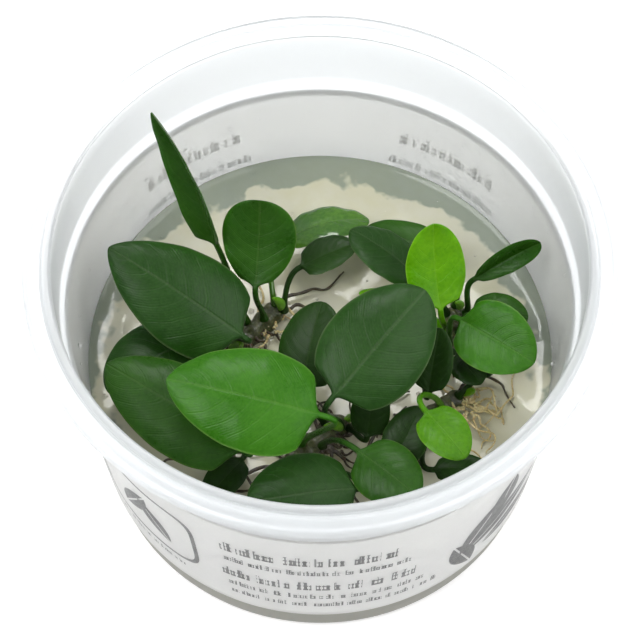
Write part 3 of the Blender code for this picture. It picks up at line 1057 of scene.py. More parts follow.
@dataclass
class GelBlock:
    """The gel, with a low meniscus at the wall and a gently uneven wet top."""

    top: float = 31.2
    foot_radius: float = 39.33
    meniscus: float = 0.9
    sides: int = 192

    def build(self, shop: Shop) -> bpy.types.Object:
        """Build the block; its top is raised by a few broad sine waves and at the wall.

        Args:
            shop: The shared shader groups.

        Returns:
            The block.
        """
        wall = self.foot_radius + WALL_SLOPE * (self.top - 2.0)
        side = np.array([[0.02, 1.06], [20.0, 1.06], [37.7, 1.06], [38.6, 1.35], [39.28, 2.3]])
        up = np.stack([np.linspace(self.foot_radius, wall, 14)[1:],
                       np.linspace(2.6, self.top + self.meniscus, 14)[1:]], -1)
        r = np.concatenate([wall - np.geomspace(0.12, 6.0, 14), np.linspace(35.2, 0.02, 40)])
        lip = np.stack([r, self.top + self.meniscus * np.exp(-(wall - r) / self.meniscus)], -1)
        surface = turned(np.vstack([side, up, lip]), self.sides)
        g = surface.grid
        start = len(side) + len(up)
        x, y = g[start:, :, 0], g[start:, :, 1]
        waves = 0.18 * np.sin(x * 0.21 + 1.0) * np.cos(y * 0.17)
        g[start:, :, 2] += waves + 0.10 * np.sin(x * 0.5 + y * 0.43)
        return make_piece("gel_block", [surface], ["gel"],
                          WetGel().material(shop, "wet_gel"))


# ------------------------------------------------------------------ rhizomes and roots
@dataclass
class Rhizome:
    """One stubby creeping stem with ring scars; its buds are built as a separate piece.

    Attributes:
        node: CAD node it stands for.
        start: Older end.
        end: Growing end.
        radius: Mean radius.
    """

    node: str
    start: Point
    end: Point
    radius: float

    def at(self, place: float, lean: float, gap: float = -0.25) -> tuple[np.ndarray, np.ndarray]:
        """Return the point and the outward direction at a place along and a lean in degrees.

        Args:
            place: 0 at the older end and 1 at the growing end.
            lean: Degrees from straight up, round the stem.
            gap: How far outside the mean radius the point lies.

        Returns:
            The point and the direction.
        """
        a, b = np.array(self.start), np.array(self.end)
        along = unit(b - a)
        up = square_to(along, np.array([0.0, 0.0, 1.0]))
        left = np.cross(up, along)
        out = up * math.cos(math.radians(lean)) + left * math.sin(math.radians(lean))
        return a + (b - a) * place + out * (self.radius + gap), out

    def build(self, material: bpy.types.Material) -> bpy.types.Object:
        """Build the stem: radius swells and pinches along it, and lumps run round it.

        Args:
            material: The finish to put on it.

        Returns:
            The stem.
        """
        t = np.linspace(0.0, 1.0, 70)
        a, b = np.array(self.start), np.array(self.end)
        along = unit(b - a)
        side = square_to(along, np.array([0.0, 0.0, 1.0]))
        path = a + (b - a) * t[:, None] + np.cross(along, side) * (0.5 * np.sin(t * 5.0))[:, None]
        ends = np.sqrt(np.clip(1.0 - (2 * t - 1.0) ** 6, 0.02, 1.0))
        around = np.linspace(0.0, 2 * np.pi, 36, endpoint=False)[None, :]
        rings = 1.0 + 0.06 * np.sin(t * 2 * np.pi * 5.0)
        down = t[:, None]
        lumps = 1.0 + 0.07 * np.sin(3 * around + 7 * down) + 0.04 * np.sin(5 * around - 11 * down)
        radius = self.radius * (ends * rings)[:, None] * lumps * 0.97
        return make_piece(self.node + "_stem", [tube(path, radius, 36)], [self.node],
                          material)


@dataclass
class Root:
    """One root and its fine side rootlets.

    Attributes:
        node: CAD node it stands for.
        points: Points it runs through, thick end first.
        radius: Radius at its thick end.
    """

    node: str
    points: tuple[Point, ...]
    radius: float = 0.42

    def build(self, material: bpy.types.Material) -> bpy.types.Object:
        """Build the root: a tapering tube through its points, with rootlets that branch off.

        Args:
            material: The finish to put on it.

        Returns:
            The root.
        """
        path = spline(np.array(self.points), 60)
        t = np.linspace(0.0, 1.0, 60)
        wiggle = np.stack([np.sin(t * 17.0), np.cos(t * 13.0), 0.0 * t], -1) * (0.25 * t)[:, None]
        path = path + wiggle
        surfaces = [tube(path, self.radius * (1.0 - 0.6 * t) * (1 + 0.08 * np.sin(t * 60.0)), 12)]
        for k, turn in ((16, 1.2), (27, 3.6), (38, 5.3)):
            s = np.linspace(0.0, 1.0, 24)[:, None]
            reach = np.array([math.cos(turn), math.sin(turn), -0.45]) * 5.0
            bend = np.array([math.sin(turn * 2.0), math.cos(turn * 1.7), -1.0]) * 2.0
            twig = path[k] + reach * s * 0.9 + bend * s * s
            limit = 38.4 / np.maximum(np.hypot(twig[:, :1], twig[:, 1:2]), 38.4)
            twig[:, :2] *= limit
            twig[:, 2] = np.maximum(twig[:, 2], 1.8)
            surfaces.append(tube(twig, 0.16 * (1.0 - 0.6 * s[:, 0]), 8))
        return make_piece(self.node + "_strand", surfaces, [self.node], material)


# ------------------------------------------------------------------ leaves
@dataclass
class Leaf:
    """One leaf: a round stalk that flattens into a thin, folded, arched blade.

    Attributes:
        node: CAD node it stands for.
        rhizome: Rhizome it grows from.
        place: Where along the rhizome, 0 to 1.
        lean: Degrees from straight up, round the rhizome.
        foot: Where the blade starts.
        tip: Where the blade ends.
        width: Widest width of the blade.
        arch: How far the middle rises above the line from foot to tip.
        roll: Degrees the blade turns about that line.
        fold: Rise of each half for each millimetre out from the midrib.
        curl: How far the end bends down before it comes back to the tip.
        tone: Kind of colour.
        wave: Height of the edge's waves.
        belly: Power that sets how fast the blade widens at its foot.
        taper: Power that sets how fast it narrows to its tip.
    """

    node: str
    rhizome: str
    place: float
    lean: float
    foot: Point
    tip: Point
    width: float
    arch: float
    roll: float
    fold: float
    curl: float
    tone: LeafTone = LeafTone.MIDDLE
    wave: float = 0.25
    belly: float = 0.44
    taper: float = 0.56
    cols: int = 56
    rows: int = 90
    stalk: float = 0.52

    def half_width(self, s: np.ndarray) -> np.ndarray:
        """Return half the width: s to the belly times (1 - s) to the taper, scaled to peak at one.

        Args:
            s: Fractions from foot to tip.

        Returns:
            Half widths in millimetres.
        """
        peak = self.belly / (self.belly + self.taper)
        top = peak ** self.belly * (1.0 - peak) ** self.taper
        return 0.5 * self.width * s ** self.belly * (1.0 - s) ** self.taper / top

    def frame_of_blade(self) -> tuple[np.ndarray, np.ndarray, np.ndarray]:
        """Return the blade's axis, its sideways direction and its normal.

        Returns:
            Three unit vectors.
        """
        axis = unit(np.array(self.tip) - np.array(self.foot))
        level = unit(np.cross(np.array([0.0, 0.0, 1.0]), axis))
        normal = np.cross(axis, level)
        turn = math.radians(self.roll)
        side = level * math.cos(turn) + normal * math.sin(turn)
        return axis, side, np.cross(axis, side)

    def blade(self) -> tuple[np.ndarray, np.ndarray, np.ndarray]:
        """Work out the blade's rings.

        Each point is the spine, plus across times the half width sideways, plus a height
        along the normal: fold, drooping edge, edge waves, midrib groove above and ridge
        below. Near the foot it melts into the stalk's circle.

        Returns:
            Points, UVs and sides of the rings.
        """
        axis, side, normal = self.frame_of_blade()
        foot, tip = np.array(self.foot), np.array(self.tip)
        s = (0.5 - 0.5 * np.cos(np.linspace(0.0, np.pi, self.rows)))[:, None]
        s = 0.002 + 0.996 * s
        a = np.linspace(0.0, 2 * np.pi, self.cols, endpoint=False)[None, :]
        across, up = -np.cos(a), np.sin(a)
        half = np.maximum(self.half_width(s), 0.10)
        lift = self.arch * 4.0 * s * (1.0 - s) + self.curl * (s ** 3 - s)
        spine = foot + (tip - foot) * s[..., None] + normal * lift[..., None]
        spread = math.sqrt(1.0 + self.fold ** 2)
        soft = np.sqrt(across ** 2 + 0.012) - math.sqrt(0.012)
        seed = sum(map(ord, self.node)) % 17
        ripple = np.sin(s * 19.0 + seed) + 0.6 * np.sin(s * 31.0 + 2.0 * seed) * np.sign(across)
        height = self.fold * half * soft / spread - 0.14 * half * across ** 4
        ripple = 0.4 * self.wave * ripple * np.abs(across) ** 2.5 * ease(0.0, 0.2, s)
        height = height + ripple * ease(1.0, 0.85, s)
        dist = np.abs(across) * half
        thick = (0.15 + 0.10 * (1.0 - s)) * (1.0 - 0.55 * across ** 4)
        phase = s - 0.30 * np.abs(across) ** 1.35
        pucker = 0.022 * np.cos(phase * 14.0 * np.pi) * ease(0.0, 0.25, np.abs(across))
        pucker = pucker * ease(1.0, 0.7, np.abs(across))
        groove = 0.13 * np.exp(-(dist / 0.42) ** 2) * ease(1.0, 0.6, s)
        ridge = (0.08 + 0.38 * (1.0 - s) ** 2) * np.exp(-(dist / 0.55) ** 2)
        upper = height + thick * np.abs(up) - groove - pucker
        lower = height - thick * np.abs(up) - ridge - pucker * 0.8
        level = np.where(up >= 0.0, upper, lower)
        flat = across * half / spread
        melt = ease(0.0, 0.10, s)
        flat = flat * melt + across * self.stalk * (1.0 - melt)
        level = level * melt + up * self.stalk * (1.0 - melt)
        grid = spine + side * flat[..., None] + normal * level[..., None]
        uv = np.stack([0.5 + 0.5 * across + 0.0 * s, s + 0.0 * across], -1)
        return grid, uv, np.broadcast_to(up >= -1e-6, level.shape).astype(float)

    def stem(self, rhizome: Rhizome) -> tuple[np.ndarray, np.ndarray, np.ndarray]:
        """Work out the stalk's rings: a circle carried along a Bezier curve to the foot.

        Args:
            rhizome: The stem it grows from.

        Returns:
            Points, UVs and sides of the rings.
        """
        axis, side, _ = self.frame_of_blade()
        foot = np.array(self.foot)
        base, out = rhizome.at(self.place, self.lean)
        reach = float(np.linalg.norm(foot - base))
        rise = square_to(out, np.array([0.0, 0.0, 1.0]))
        bend = unit(out + rise * 0.6)
        t = np.linspace(0.0, 0.995, 34)
        path = bezier(base, base + bend * reach * 0.35, foot - axis * reach * 0.35, foot, t)
        along = unit(np.gradient(path, axis=0))
        ring_side = square_to(along, np.broadcast_to(side, path.shape))
        ring_up = np.cross(along, ring_side)
        a = np.linspace(0.0, 2 * np.pi, self.cols, endpoint=False)[None, :]
        sheath = 1.0 + 0.75 * np.exp(-t / 0.10)
        size = (self.stalk * sheath)[:, None] * (1.0 - 0.12 * np.exp(-((a - np.pi / 2) / 0.5) ** 2))
        grid = path[:, None] + (ring_side[:, None] * (-np.cos(a) * size)[..., None]
                                + ring_up[:, None] * (np.sin(a) * size)[..., None])
        uv = np.stack([0.5 - 0.5 * np.cos(a) + 0.0 * t[:, None], t[:, None] - 1.05 + 0.0 * a], -1)
        return grid, uv, np.broadcast_to(np.sin(a) >= 0.0, size.shape).astype(float)

    def build(self, rhizome: Rhizome, material: bpy.types.Material) -> bpy.types.Object:
        """Build the leaf as one closed skin from stalk to tip.

        Args:
            rhizome: The stem it grows from.
            material: The finish to put on it.

        Returns:
            The leaf.
        """
        parts = [self.stem(rhizome), self.blade()]
        grid, uv, side = (np.concatenate([p[k] for p in parts]) for k in range(3))
        surface = Surface(grid[:, ::-1], uv[:, ::-1], side[:, ::-1])
        return make_piece(self.node + "_blade", [surface], [self.node], material)


T = LeafTone
RHIZOMES: tuple[Rhizome, ...] = (
    Rhizome("rhizome_back_left", (-17.0, 0.5, 31.6), (-6.5, 8.5, 33.0), 2.1),
    Rhizome("rhizome_front", (-6.0, -22.0, 31.6), (5.0, -14.5, 33.0), 2.2),
    Rhizome("rhizome_right", (20.5, -2.5, 31.6), (25.5, 8.0, 33.2), 2.1),
    Rhizome("rhizome_right_front", (15.5, -14.5, 31.4), (26.0, -9.5, 32.4), 1.9),
    Rhizome("rhizome_left_front", (-25.5, -6.0, 31.5), (-16.0, -15.0, 32.8), 2.0),
)

LEAVES: tuple[Leaf, ...] = (
    Leaf("leaf_tall_rolled", "rhizome_back_left", 0.45, 55, (-18.3, 14.0, 45.5),
         (-29.0, 26.5, 69.5),
         10.0, -1.0, -75, 0.85, 1.5, T.MIDDLE, 0.15, 0.36, 0.76),
    Leaf("leaf_left_broad", "rhizome_back_left", 0.10, 20, (-13.4, -3.2, 43.5), (-37.0, 10.0, 52.0),
         18.0, 2.2, -12, -0.12, 1.4, T.DEEP, 0.35, 0.40, 0.72),
    Leaf("leaf_back_upright", "rhizome_back_left", 0.65, -10, (-11.5, 6.8, 43.0),
         (-10.5, 17.5, 55.5),
         13.5, -1.0, -5, 0.14, 0.5, T.MIDDLE, 0.25, 0.62, 0.44),
    Leaf("leaf_back_wet", "rhizome_back_left", 0.90, 35, (-6.5, 19.5, 38.0), (9.0, 24.0, 38.0),
         9.0, 2.2, -15, 0.10, 0.5, T.WET, 0.3),
    Leaf("leaf_back_small", "rhizome_back_left", 0.95, -35, (-3.5, 12.6, 40.5), (6.5, 16.0, 43.0),
         8.0, 0.8, -10, 0.20, 0.4, T.SHADED, 0.15),
    Leaf("leaf_front_bright", "rhizome_front", 0.30, 20, (0.0, -23.4, 53.5), (-25.8, -17.4, 55.0),
         18.4, 2.0, -12, -0.10, 1.4, T.BRIGHT, 0.45, 0.42, 0.66),
    Leaf("leaf_centre_dark", "rhizome_front", 0.85, -25, (2.2, -18.8, 51.0), (18.0, -0.8, 56.0),
         18.2, 1.8, 14, -0.14, 1.0, T.DEEP, 0.30),
    Leaf("leaf_front_low", "rhizome_front", 0.08, -45, (6.3, -32.0, 42.6), (-12.2, -35.8, 45.6),
         15.0, 2.0, -12, -0.14, 0.8, T.DEEP, 0.2),
    Leaf("leaf_front_right", "rhizome_front", 0.50, -50, (6.5, -26.0, 45.0), (16.5, -35.0, 46.0),
         11.0, 1.2, 12, -0.10, 0.6, T.MIDDLE, 0.2),
    Leaf("leaf_centre_inner", "rhizome_front", 0.70, 40, (-3.0, -11.0, 38.5), (0.5, 2.5, 46.0),
         12.5, 1.2, -20, 0.10, 0.5, T.SHADED, 0.2),
    Leaf("leaf_centre_shaded", "rhizome_front", 0.95, -60, (8.2, -19.6, 37.0), (9.5, -12.5, 44.5),
         7.0, 0.5, 0, 0.15, 0.3, T.SHADED, 0.1),
    Leaf("leaf_right_upright", "rhizome_right", 0.50, 20, (21.2, 1.6, 44.5), (19.7, 11.8, 57.0),
         11.0, -1.5, 5, 0.22, 0.5, T.LIME, 0.25),
    Leaf("leaf_right_curled", "rhizome_right", 0.95, -50, (27.5, 9.5, 41.5), (39.0, 13.0, 48.5),
         6.0, -1.0, 40, 0.80, 1.2, T.MIDDLE, 0.15, 0.6, 0.45),
    Leaf("leaf_right_broad", "rhizome_right", 0.22, -50, (24.6, 0.0, 44.0), (37.2, -9.2, 45.0),
         13.5, 1.0, 20, 0.40, 0.8, T.BRIGHT, 0.25),
    Leaf("leaf_right_behind", "rhizome_right", 0.60, -55, (26.8, 4.2, 38.0), (37.2, 3.2, 39.0),
         8.5, 1.0, 12, 0.05, 0.5, T.MIDDLE, 0.2),
    Leaf("leaf_back_centre", "rhizome_right", 0.80, 50, (18.0, 10.0, 40.5), (5.5, 19.0, 43.0),
         10.5, 1.2, 15, 0.05, 0.6, T.DEEP, 0.2),
    Leaf("leaf_back_right", "rhizome_right", 0.98, 30, (24.5, 15.5, 37.8), (8.5, 23.0, 37.0),
         8.0, 1.4, -5, 0.10, 0.6, T.MIDDLE, 0.2),
    Leaf("leaf_right_inner", "rhizome_right", 0.00, -10, (24.2, -4.0, 38.5), (28.2, -10.5, 39.5),
         6.5, 0.5, 0, 0.20, 0.3, T.SHADED, 0.1),
    Leaf("leaf_centre_tip", "rhizome_right", 0.60, 65, (16.0, 7.3, 36.5), (7.0, 9.0, 37.5),
         4.0, 0.4, 10, 0.20, 0.3, T.LIME, 0.1),
    Leaf("leaf_centre_right", "rhizome_right", 0.03, 45, (19.0, -12.0, 39.0), (21.0, -2.5, 45.5),
         7.5, 0.5, -15, 0.20, 0.4, T.SHADED, 0.1),
    Leaf("leaf_small_lime", "rhizome_right_front", 0.55, -25, (18.0, -20.0, 48.0),
         (24.5, -29.0, 48.5),
         8.5, 1.0, 5, 0.20, 0.5, T.YOUNG, 0.15),
    Leaf("leaf_front_shaded", "rhizome_right_front", 0.12, 0, (12.5, -26.0, 39.0),
         (17.5, -16.8, 43.5),
         8.0, 0.5, 0, 0.15, 0.3, T.SHADED, 0.1),
    Leaf("leaf_front_edge", "rhizome_right_front", 0.35, -60, (19.5, -26.5, 38.5),
         (29.0, -27.0, 40.5),
         5.5, 0.5, 0, 0.20, 0.3, T.SHADED, 0.1),
    Leaf("leaf_right_small", "rhizome_right_front", 0.90, 10, (28.0, -7.0, 36.0),
         (32.0, -2.5, 38.0),
         4.5, 0.3, 0, 0.20, 0.3, T.SHADED, 0.1),
    Leaf("leaf_left_front", "rhizome_left_front", 0.85, -40, (-13.0, -25.6, 44.0),
         (-36.8, -10.6, 47.5),
         16.0, 2.0, -8, -0.08, 1.2, T.MIDDLE, 0.3, 0.42, 0.62),
    Leaf("leaf_left_edge", "rhizome_left_front", 0.30, 15, (-22.5, -2.0, 40.5),
         (-37.3, -12.0, 40.0),
         14.5, 1.8, -6, -0.05, 0.8, T.DEEP, 0.25),
    Leaf("leaf_left_back", "rhizome_left_front", 0.05, 40, (-24.0, 1.5, 38.0), (-31.0, 8.0, 38.5),
         6.0, 0.5, 10, 0.20, 0.3, T.MIDDLE, 0.1),
    Leaf("leaf_left_low", "rhizome_left_front", 0.97, 30, (-13.5, -22.5, 34.5),
         (-20.0, -31.0, 35.0),
         6.5, 0.5, 0, 0.15, 0.3, T.SHADED, 0.1),
)

ROOTS: tuple[Root, ...] = (
    Root("root_front_a",
         ((-4.5, -18.0, 29.6), (-7.5, -14.0, 24.0), (-9.0, -13.0, 14.0), (-12.0, -16.0, 5.5))),
    Root("root_front_b",
         ((1.5, -20.5, 29.8), (4.5, -26.0, 23.0), (4.0, -32.0, 14.0), (-1.0, -35.0, 5.0))),
    Root("root_back_a", ((-12.0, 7.5, 29.8), (-14.0, 13.5, 22.0), (-20.0, 17.0, 13.0),
                         (-25.0, 16.0, 6.0))),
    Root("root_back_b", ((-8.0, 3.0, 30.0), (-3.0, 0.0, 23.0), (3.0, 1.5, 14.0), (5.0, 6.0, 6.0))),
    Root("root_right_a",
         ((25.0, 1.0, 29.6), (29.0, 3.0, 22.0), (30.5, 8.0, 13.0), (27.0, 14.0, 6.0))),
    Root("root_right_b",
         ((20.0, 3.0, 29.8), (15.0, 9.0, 22.0), (14.0, 16.0, 14.0), (18.0, 22.0, 6.0))),
    Root("root_right_c",
         ((22.5, -13.5, 29.6), (26.5, -18.5, 23.0), (26.0, -24.0, 14.0), (20.0, -29.0, 5.0))),
    Root("root_left_a", ((-23.0, -11.5, 29.6), (-28.0, -15.0, 23.0), (-30.0, -17.0, 14.0),
                         (-25.0, -25.0, 5.0))),
)


@dataclass
class LooseRoots:
    """Fine roots that creep over the gel from each crown.

    Attributes:
        name: Name of the piece.
        runs: Points of each root; the heights sit on the gel.
        radius: Radius at the thick end.
    """

    name: str
    runs: tuple[tuple[Point, ...], ...]
    radius: float = 0.24
    points: int = 48
    sides: int = 10

    def build(self, material: bpy.types.Material) -> bpy.types.Object:
        """Build the roots: splines with a small sine wander, tapering to their ends.

        Args:
            material: The finish to put on it.

        Returns:
            The roots, as one piece.
        """
        surfaces = []
        for k, run in enumerate(self.runs):
            path = spline(np.array(run), self.points)
            t = np.linspace(0.0, 1.0, self.points)
            wander = np.stack([np.sin(t * 15 + k), np.cos(t * 19 + 2 * k),
                               0.5 * np.sin(t * 23 + k)], -1)
            path = path + 0.30 * wander * ease(0.0, 0.3, t)[:, None]
            surfaces.append(tube(path, self.radius * (1.0 - 0.65 * t) * (1 + 0.1 * np.sin(t * 45)),
                                 self.sides))
        return make_piece(self.name, surfaces, [], material)


def root_mat(x: float, y: float, count: int, reach: float) -> tuple[tuple[Point, ...], ...]:
    """Return roots that spread from a crown by the golden angle, each bent to one side.

    Args:
        x: Place of the crown across.
        y: Place of the crown along the depth.
        count: How many roots.
        reach: Length of the longest root.

    Returns:
        The points of each root, ending on the gel.
    """
    runs = []
    for k in range(count):
        turn = k * GOLDEN_ANGLE + 0.3 * x
        far = reach * (0.45 + 0.55 * ((k * 0.618) % 1.0))
        c, s = math.cos(turn), math.sin(turn)
        side = 0.28 * far * math.sin(k * 1.9)
        near = (x + 0.35 * far * c - 0.5 * side * s, y + 0.35 * far * s + 0.5 * side * c, 33.0)
        bent = (x + 0.7 * far * c - side * s, y + 0.7 * far * s + side * c, 32.1)
        runs.append(((x + 0.8 * c, y + 0.8 * s, 33.2), near, bent,
                     (x + far * c, y + far * s, 31.6)))
    return tuple(runs)


# Dense dark root mats round the crowns: partly real old roots, partly painted shade filling the
# gaps between leaves.
OLD_ROOT_AND_SHADE_MATS = (root_mat(0.5, -19.5, 22, 11.5) + root_mat(-18.5, -13.5, 12, 10.0)
            + root_mat(15.0, -17.5, 12, 9.0) + root_mat(-12.0, 3.0, 9, 8.0)
            + root_mat(23.0, 0.0, 8, 8.0))
PALE_MATS = root_mat(26.5, -12.0, 14, 10.5) + root_mat(-9.0, 3.5, 6, 8.0)

DARK_ROOTS_AND_SHADE = LooseRoots("old_roots_and_shade", OLD_ROOT_AND_SHADE_MATS + (
    ((-8.0, 7.5, 32.6), (-3.5, 9.0, 32.4), (1.5, 6.5, 31.8), (6.5, 4.0, 31.6)),
    ((-9.5, 6.0, 32.4), (-5.0, 11.5, 32.6), (1.0, 13.0, 32.0), (4.5, 17.0, 31.7)),
    ((-16.5, -1.0, 32.2), (-20.0, -3.5, 32.6), (-24.0, -2.0, 31.9), (-27.0, -5.0, 31.6)),
    ((-5.0, -21.0, 32.4), (-9.0, -19.0, 33.0), (-13.0, -20.5, 32.4), (-17.5, -19.0, 31.8)),
    ((2.0, -17.0, 33.6), (6.5, -20.5, 33.2), (11.0, -20.0, 32.2), (15.0, -17.0, 31.8)),
    ((22.0, 0.0, 33.2), (17.5, -2.5, 32.8), (13.0, -1.5, 32.0), (9.5, -5.0, 31.6)),
    ((24.0, 4.0, 33.8), (29.0, 4.5, 32.6), (32.5, 1.5, 31.9), (35.5, 3.0, 31.7)),
    ((-2.0, -19.5, 33.0), (-4.0, -12.5, 32.8), (-3.0, -7.0, 32.0), (1.0, -3.0, 31.7)),
    ((-14.0, 3.5, 33.2), (-11.0, -2.0, 32.6), (-8.5, -6.5, 32.0), (-9.0, -11.0, 31.7)),
    ((-6.0, -22.0, 32.2), (-9.5, -27.0, 32.8), (-15.0, -28.0, 32.2), (-20.0, -32.0, 31.7)),
    ((-5.5, -22.5, 32.0), (-12.0, -24.0, 32.6), (-17.0, -27.0, 32.6), (-24.0, -28.5, 31.7)),
    ((-16.5, -15.0, 33.2), (-15.0, -21.0, 33.0), (-11.0, -29.0, 32.6), (-9.0, -35.0, 31.7)),
    ((-19.0, -13.0, 33.2), (-22.0, -20.0, 32.8), (-27.0, -22.0, 32.2), (-28.0, -27.0, 31.7)),
    ((4.0, -16.0, 33.8), (10.0, -14.5, 33.0), (12.5, -10.0, 32.2), (16.0, -8.0, 31.7)),
    ((15.5, -14.5, 32.6), (10.0, -16.0, 33.0), (8.0, -24.0, 32.4), (12.0, -30.0, 31.7)),
    ((3.0, -17.5, 33.6), (8.5, -22.5, 33.0), (6.0, -29.0, 32.4), (10.0, -35.0, 31.7)),
    ((-17.0, -1.0, 32.6), (-12.5, -4.5, 33.2), (-14.5, -10.0, 32.8), (-11.0, -15.0, 31.8)),
    ((24.0, -10.0, 33.0), (27.0, -6.0, 33.2), (32.0, -6.5, 32.4), (34.5, -11.0, 31.7))), 0.42)

PALE_ROOTS = LooseRoots("pale_roots", PALE_MATS + (
    ((24.5, -10.2, 33.0), (28.0, -12.5, 33.2), (31.0, -10.5, 32.2), (32.5, -14.0, 31.7)),
    ((25.5, -9.8, 33.0), (29.5, -8.0, 33.4), (31.5, -12.0, 32.6), (28.0, -15.5, 31.8)),
    ((23.0, -10.5, 33.4), (26.0, -15.0, 33.4), (30.5, -17.0, 32.4), (29.5, -20.5, 31.7)),
    ((26.0, -9.5, 32.6), (31.0, -13.0, 32.8), (34.0, -9.0, 32.0), (35.0, -4.0, 31.6)),
    ((21.0, -12.0, 33.4), (23.0, -17.5, 33.0), (27.0, -20.0, 32.2), (31.0, -23.5, 31.7)),
    ((-19.0, -12.5, 33.6), (-23.0, -15.0, 33.4), (-26.5, -13.5, 32.2), (-29.5, -17.0, 31.7)),
    ((-6.0, 8.0, 33.6), (-2.0, 4.5, 33.0), (3.0, 3.5, 32.2), (8.0, -0.5, 31.6)),
    ((-12.0, 4.5, 33.6), (-10.5, 10.5, 33.0), (-13.0, 16.5, 32.2), (-11.0, 21.0, 31.7)),
    ((24.5, 6.0, 34.2), (21.0, 10.5, 33.2), (23.0, 16.0, 32.2), (20.0, 20.5, 31.7))), 0.30)


@dataclass
class Plantlets:
    """All rhizomes, roots and leaves."""

    rhizomes: tuple[Rhizome, ...] = RHIZOMES
    roots: tuple[Root, ...] = ROOTS
    leaves: tuple[Leaf, ...] = LEAVES

    def build(self, shop: Shop) -> None:
        """Build every rhizome, root and leaf with its finish.

        Args:
            shop: The shared shader groups.
        """
        stem = RHIZOME_SKIN.material(shop, "rhizome_skin")
        strand = ROOT_SKIN.material(shop, "root_skin")
        tones = {tone: tone.value.material(shop, "leaf_" + tone.name.lower()) for tone in LeafTone}
        by_name = {r.node: r for r in self.rhizomes}
        # The dark roots are partly real and partly painted shade between the leaves.
        dark = OLD_ROOT_AND_SHADE_SKIN.material(shop, "old_root_and_shade_skin")
        DARK_ROOTS_AND_SHADE.build(dark)
        PALE_ROOTS.build(strand)
        Buds().build(tones[LeafTone.LIME])
        for rhizome in self.rhizomes:
            rhizome.build(stem)
        for root in self.roots:
            root.build(strand)
        for leaf in self.leaves:
            leaf.build(by_name[leaf.rhizome], tones[leaf.tone])


@dataclass
class Buds:
    """Young rolled leaves that stand up from the crowns as pointed spikes."""

    spikes: tuple[tuple[Point, Point, float], ...] = (
        ((-7.0, 7.5, 34.2), (-8.5, 6.0, 41.0), 0.95),
        ((-16.0, 0.0, 33.0), (-14.2, -2.6, 39.5), 1.10),
        ((3.6, -16.6, 34.4), (0.6, -21.0, 44.5), 0.95),
        ((5.0, -14.8, 34.2), (4.2, -17.5, 40.0), 0.80),
        ((25.2, 7.4, 34.8), (24.0, 5.0, 41.0), 0.85),
        ((25.6, -9.6, 33.8), (27.0, -11.0, 38.0), 0.75),
        ((-17.0, -14.2, 34.2), (-18.5, -15.8, 39.0), 0.85),
    )

    def build(self, material: bpy.types.Material) -> bpy.types.Object:
        """Build the spikes: a circle whose radius swells low down and closes to a point.

        Args:
            material: The finish to put on it.

        Returns:
            The spikes, as one piece.
        """
        surfaces = []
        for start, end, radius in self.spikes:
            t = np.linspace(0.0, 1.0, 30)
            a, b = np.array(start), np.array(end)
            path = a + (b - a) * t[:, None] + np.array([0.5, 0.3, 0.0]) * np.sin(t * np.pi)[:, None]
            swell = 0.55 + 0.45 * np.sin(np.minimum(t * 2.2, 1.0) * np.pi / 2)
            size = radius * swell * (1.0 - t ** 2.2) ** 0.8 + 0.03
            surfaces.append(tube(path, size, 18))
        return make_piece("young_buds", surfaces, [], material)


@dataclass
class Droplets:
    """Condensed drops on the inner wall and small bubbles lying on the gel."""

    drops: int = 40
    bubbles: int = 46
    floor_radius: float = 39.4
    gel_radius: float = 40.6
    gel_top: float = 31.2

    def bead(self, middle: np.ndarray, size: np.ndarray) -> Surface:
        """Return a flattened ball: rings of cos latitude, stretched by size along x, y and z.

        Args:
            middle: Middle of the ball.
            size: Half sizes along x, y and z.

        Returns:
            The closed ball.
        """
        lat = np.linspace(-0.49 * np.pi, 0.49 * np.pi, 9)[:, None]
        lon = np.linspace(0.0, 2 * np.pi, 14, endpoint=False)[None, :]
        ball = np.stack([np.cos(lat) * np.cos(lon), np.cos(lat) * np.sin(lon),
                         np.sin(lat) + 0.0 * lon], -1)
        flat = np.zeros(ball.shape[:2])
        return Surface(middle + ball * size, np.stack([flat, flat], -1), flat + 1.0)

    def build(self, material: bpy.types.Material) -> bpy.types.Object:
        """Scatter drops by the golden angle, with sizes from a slow sine.

        Args:
            material: The finish to put on it.

        Returns:
            The drops and bubbles, as one piece.
        """
        surfaces = []
        for k in range(self.drops):
            turn = k * GOLDEN_ANGLE
            z = 33.5 + 16.5 * ((k * 0.618) % 1.0)
            wall = self.floor_radius + WALL_SLOPE * (z - 2.0)
            size = 0.22 + 0.28 * abs(math.sin(k * 1.7)) ** 3
            r = wall - 0.3 * size
            surfaces.append(self.bead(np.array([r * math.cos(turn), r * math.sin(turn), z]),
                                      np.full(3, size)))
        for k in range(self.bubbles):
            turn = 0.7 + k * GOLDEN_ANGLE
            r = self.gel_radius * math.sqrt((k + 0.5) / self.bubbles)
            size = 0.20 + 0.35 * abs(math.sin(k * 2.3)) ** 4
            middle = np.array([r * math.cos(turn), r * math.sin(turn), self.gel_top + 0.2 * size])
            surfaces.append(self.bead(middle, np.array([size, size, 0.6 * size])))
        return make_piece("water_drops", surfaces, [], material)


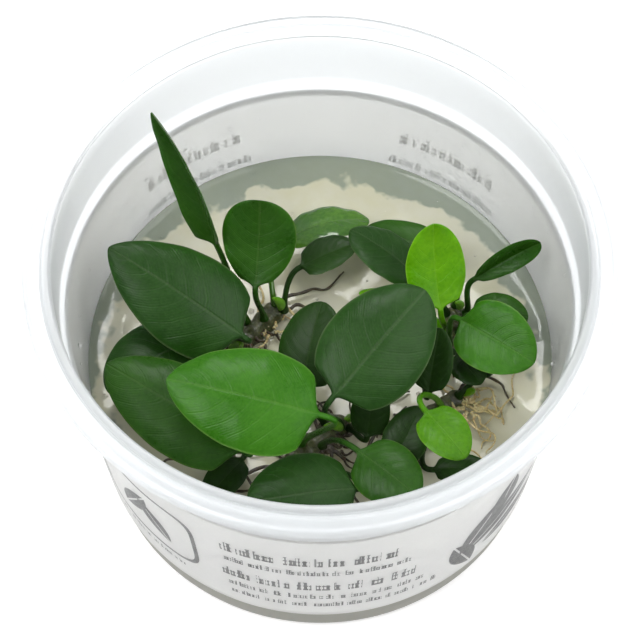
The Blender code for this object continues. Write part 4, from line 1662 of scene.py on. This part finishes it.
# ------------------------------------------------------------------ stage
@dataclass
class Studio:
    """Pale floor, soft lights and the camera."""

    distance: float = 400.0
    elevation: float = 61.39
    aim: float = 43.79
    lens: float = 127.95

    def build(self) -> None:
        """Place the floor, the lights, the world and the camera."""
        mesh = bpy.data.meshes.new("floor")
        mesh.from_pydata([(-3, -3, -0.0003), (3, -3, -0.0003), (3, 3, -0.0003), (-3, 3, -0.0003)],
                         [], [(0, 1, 2, 3)])
        floor = bpy.data.objects.new("floor", mesh)
        bpy.context.scene.collection.objects.link(floor)
        material, _, shader = new_material("floor_white")
        shader.inputs["Base Color"].default_value = (0.93, 0.93, 0.93, 1.0)
        shader.inputs["Roughness"].default_value = 0.9
        shader.inputs["Emission Color"].default_value = (1.0, 1.0, 1.0, 1.0)
        shader.inputs["Emission Strength"].default_value = 0.22
        mesh.materials.append(material)
        self.light("key_soft", (-0.45, -0.18, 0.70), 0.45, 4.6)
        self.light("fill_soft", (0.50, -0.10, 0.60), 0.70, 4.6)
        self.light("sheen_back", (-0.05, 0.42, 0.78), 0.26, 2.6)
        world = bpy.data.worlds.new("studio")
        world.use_nodes = True
        world.node_tree.nodes["Background"].inputs["Color"].default_value = (1.0, 1.0, 1.0, 1.0)
        world.node_tree.nodes["Background"].inputs["Strength"].default_value = 0.56
        bpy.context.scene.world = world
        bpy.context.scene.view_settings.view_transform = "Standard"
        self.camera()

    def light(self, name: str, place: Point, size: float, power: float) -> None:
        """Add a square area light aimed at the cup.

        Args:
            name: Name of the lamp.
            place: Where it stands, in metres.
            size: Side of its square, in metres.
            power: Power in watts.
        """
        data = bpy.data.lights.new(name, "AREA")
        data.size = size
        data.energy = power
        lamp = bpy.data.objects.new(name, data)
        lamp.location = place
        aim = np.array([0.0, 0.0, 0.05]) - np.array(place)
        flat = math.hypot(aim[0], aim[1])
        lamp.rotation_euler = (math.atan2(flat, -aim[2]), 0.0,
                               math.atan2(aim[1], aim[0]) - math.pi / 2)
        bpy.context.scene.collection.objects.link(lamp)

    def camera(self) -> None:
        """Place the camera in front of the cup, looking down."""
        data = bpy.data.cameras.new("camera")
        data.lens = self.lens
        data.sensor_width = 36.0
        tilt = math.radians(self.elevation)
        camera = bpy.data.objects.new("camera", data)
        camera.location = (0.0, -self.distance * math.cos(tilt) * MM,
                           (self.aim + self.distance * math.sin(tilt)) * MM)
        camera.rotation_euler = (math.pi / 2 - tilt, 0.0, 0.0)
        bpy.context.scene.collection.objects.link(camera)
        bpy.context.scene.camera = camera


def main() -> None:
    """Build the cup, the band, the gel, the plants and the studio, in that order."""
    logging.basicConfig(level=logging.INFO, format="%(message)s")
    shop = Shop()
    CultureCup().build(shop)
    LabelBand().build(shop)
    GelBlock().build(shop)
    Plantlets().build(shop)
    Droplets().build(ClearWater().material("clear_water"))
    Studio().build()


if __name__ == "__main__":
    main()
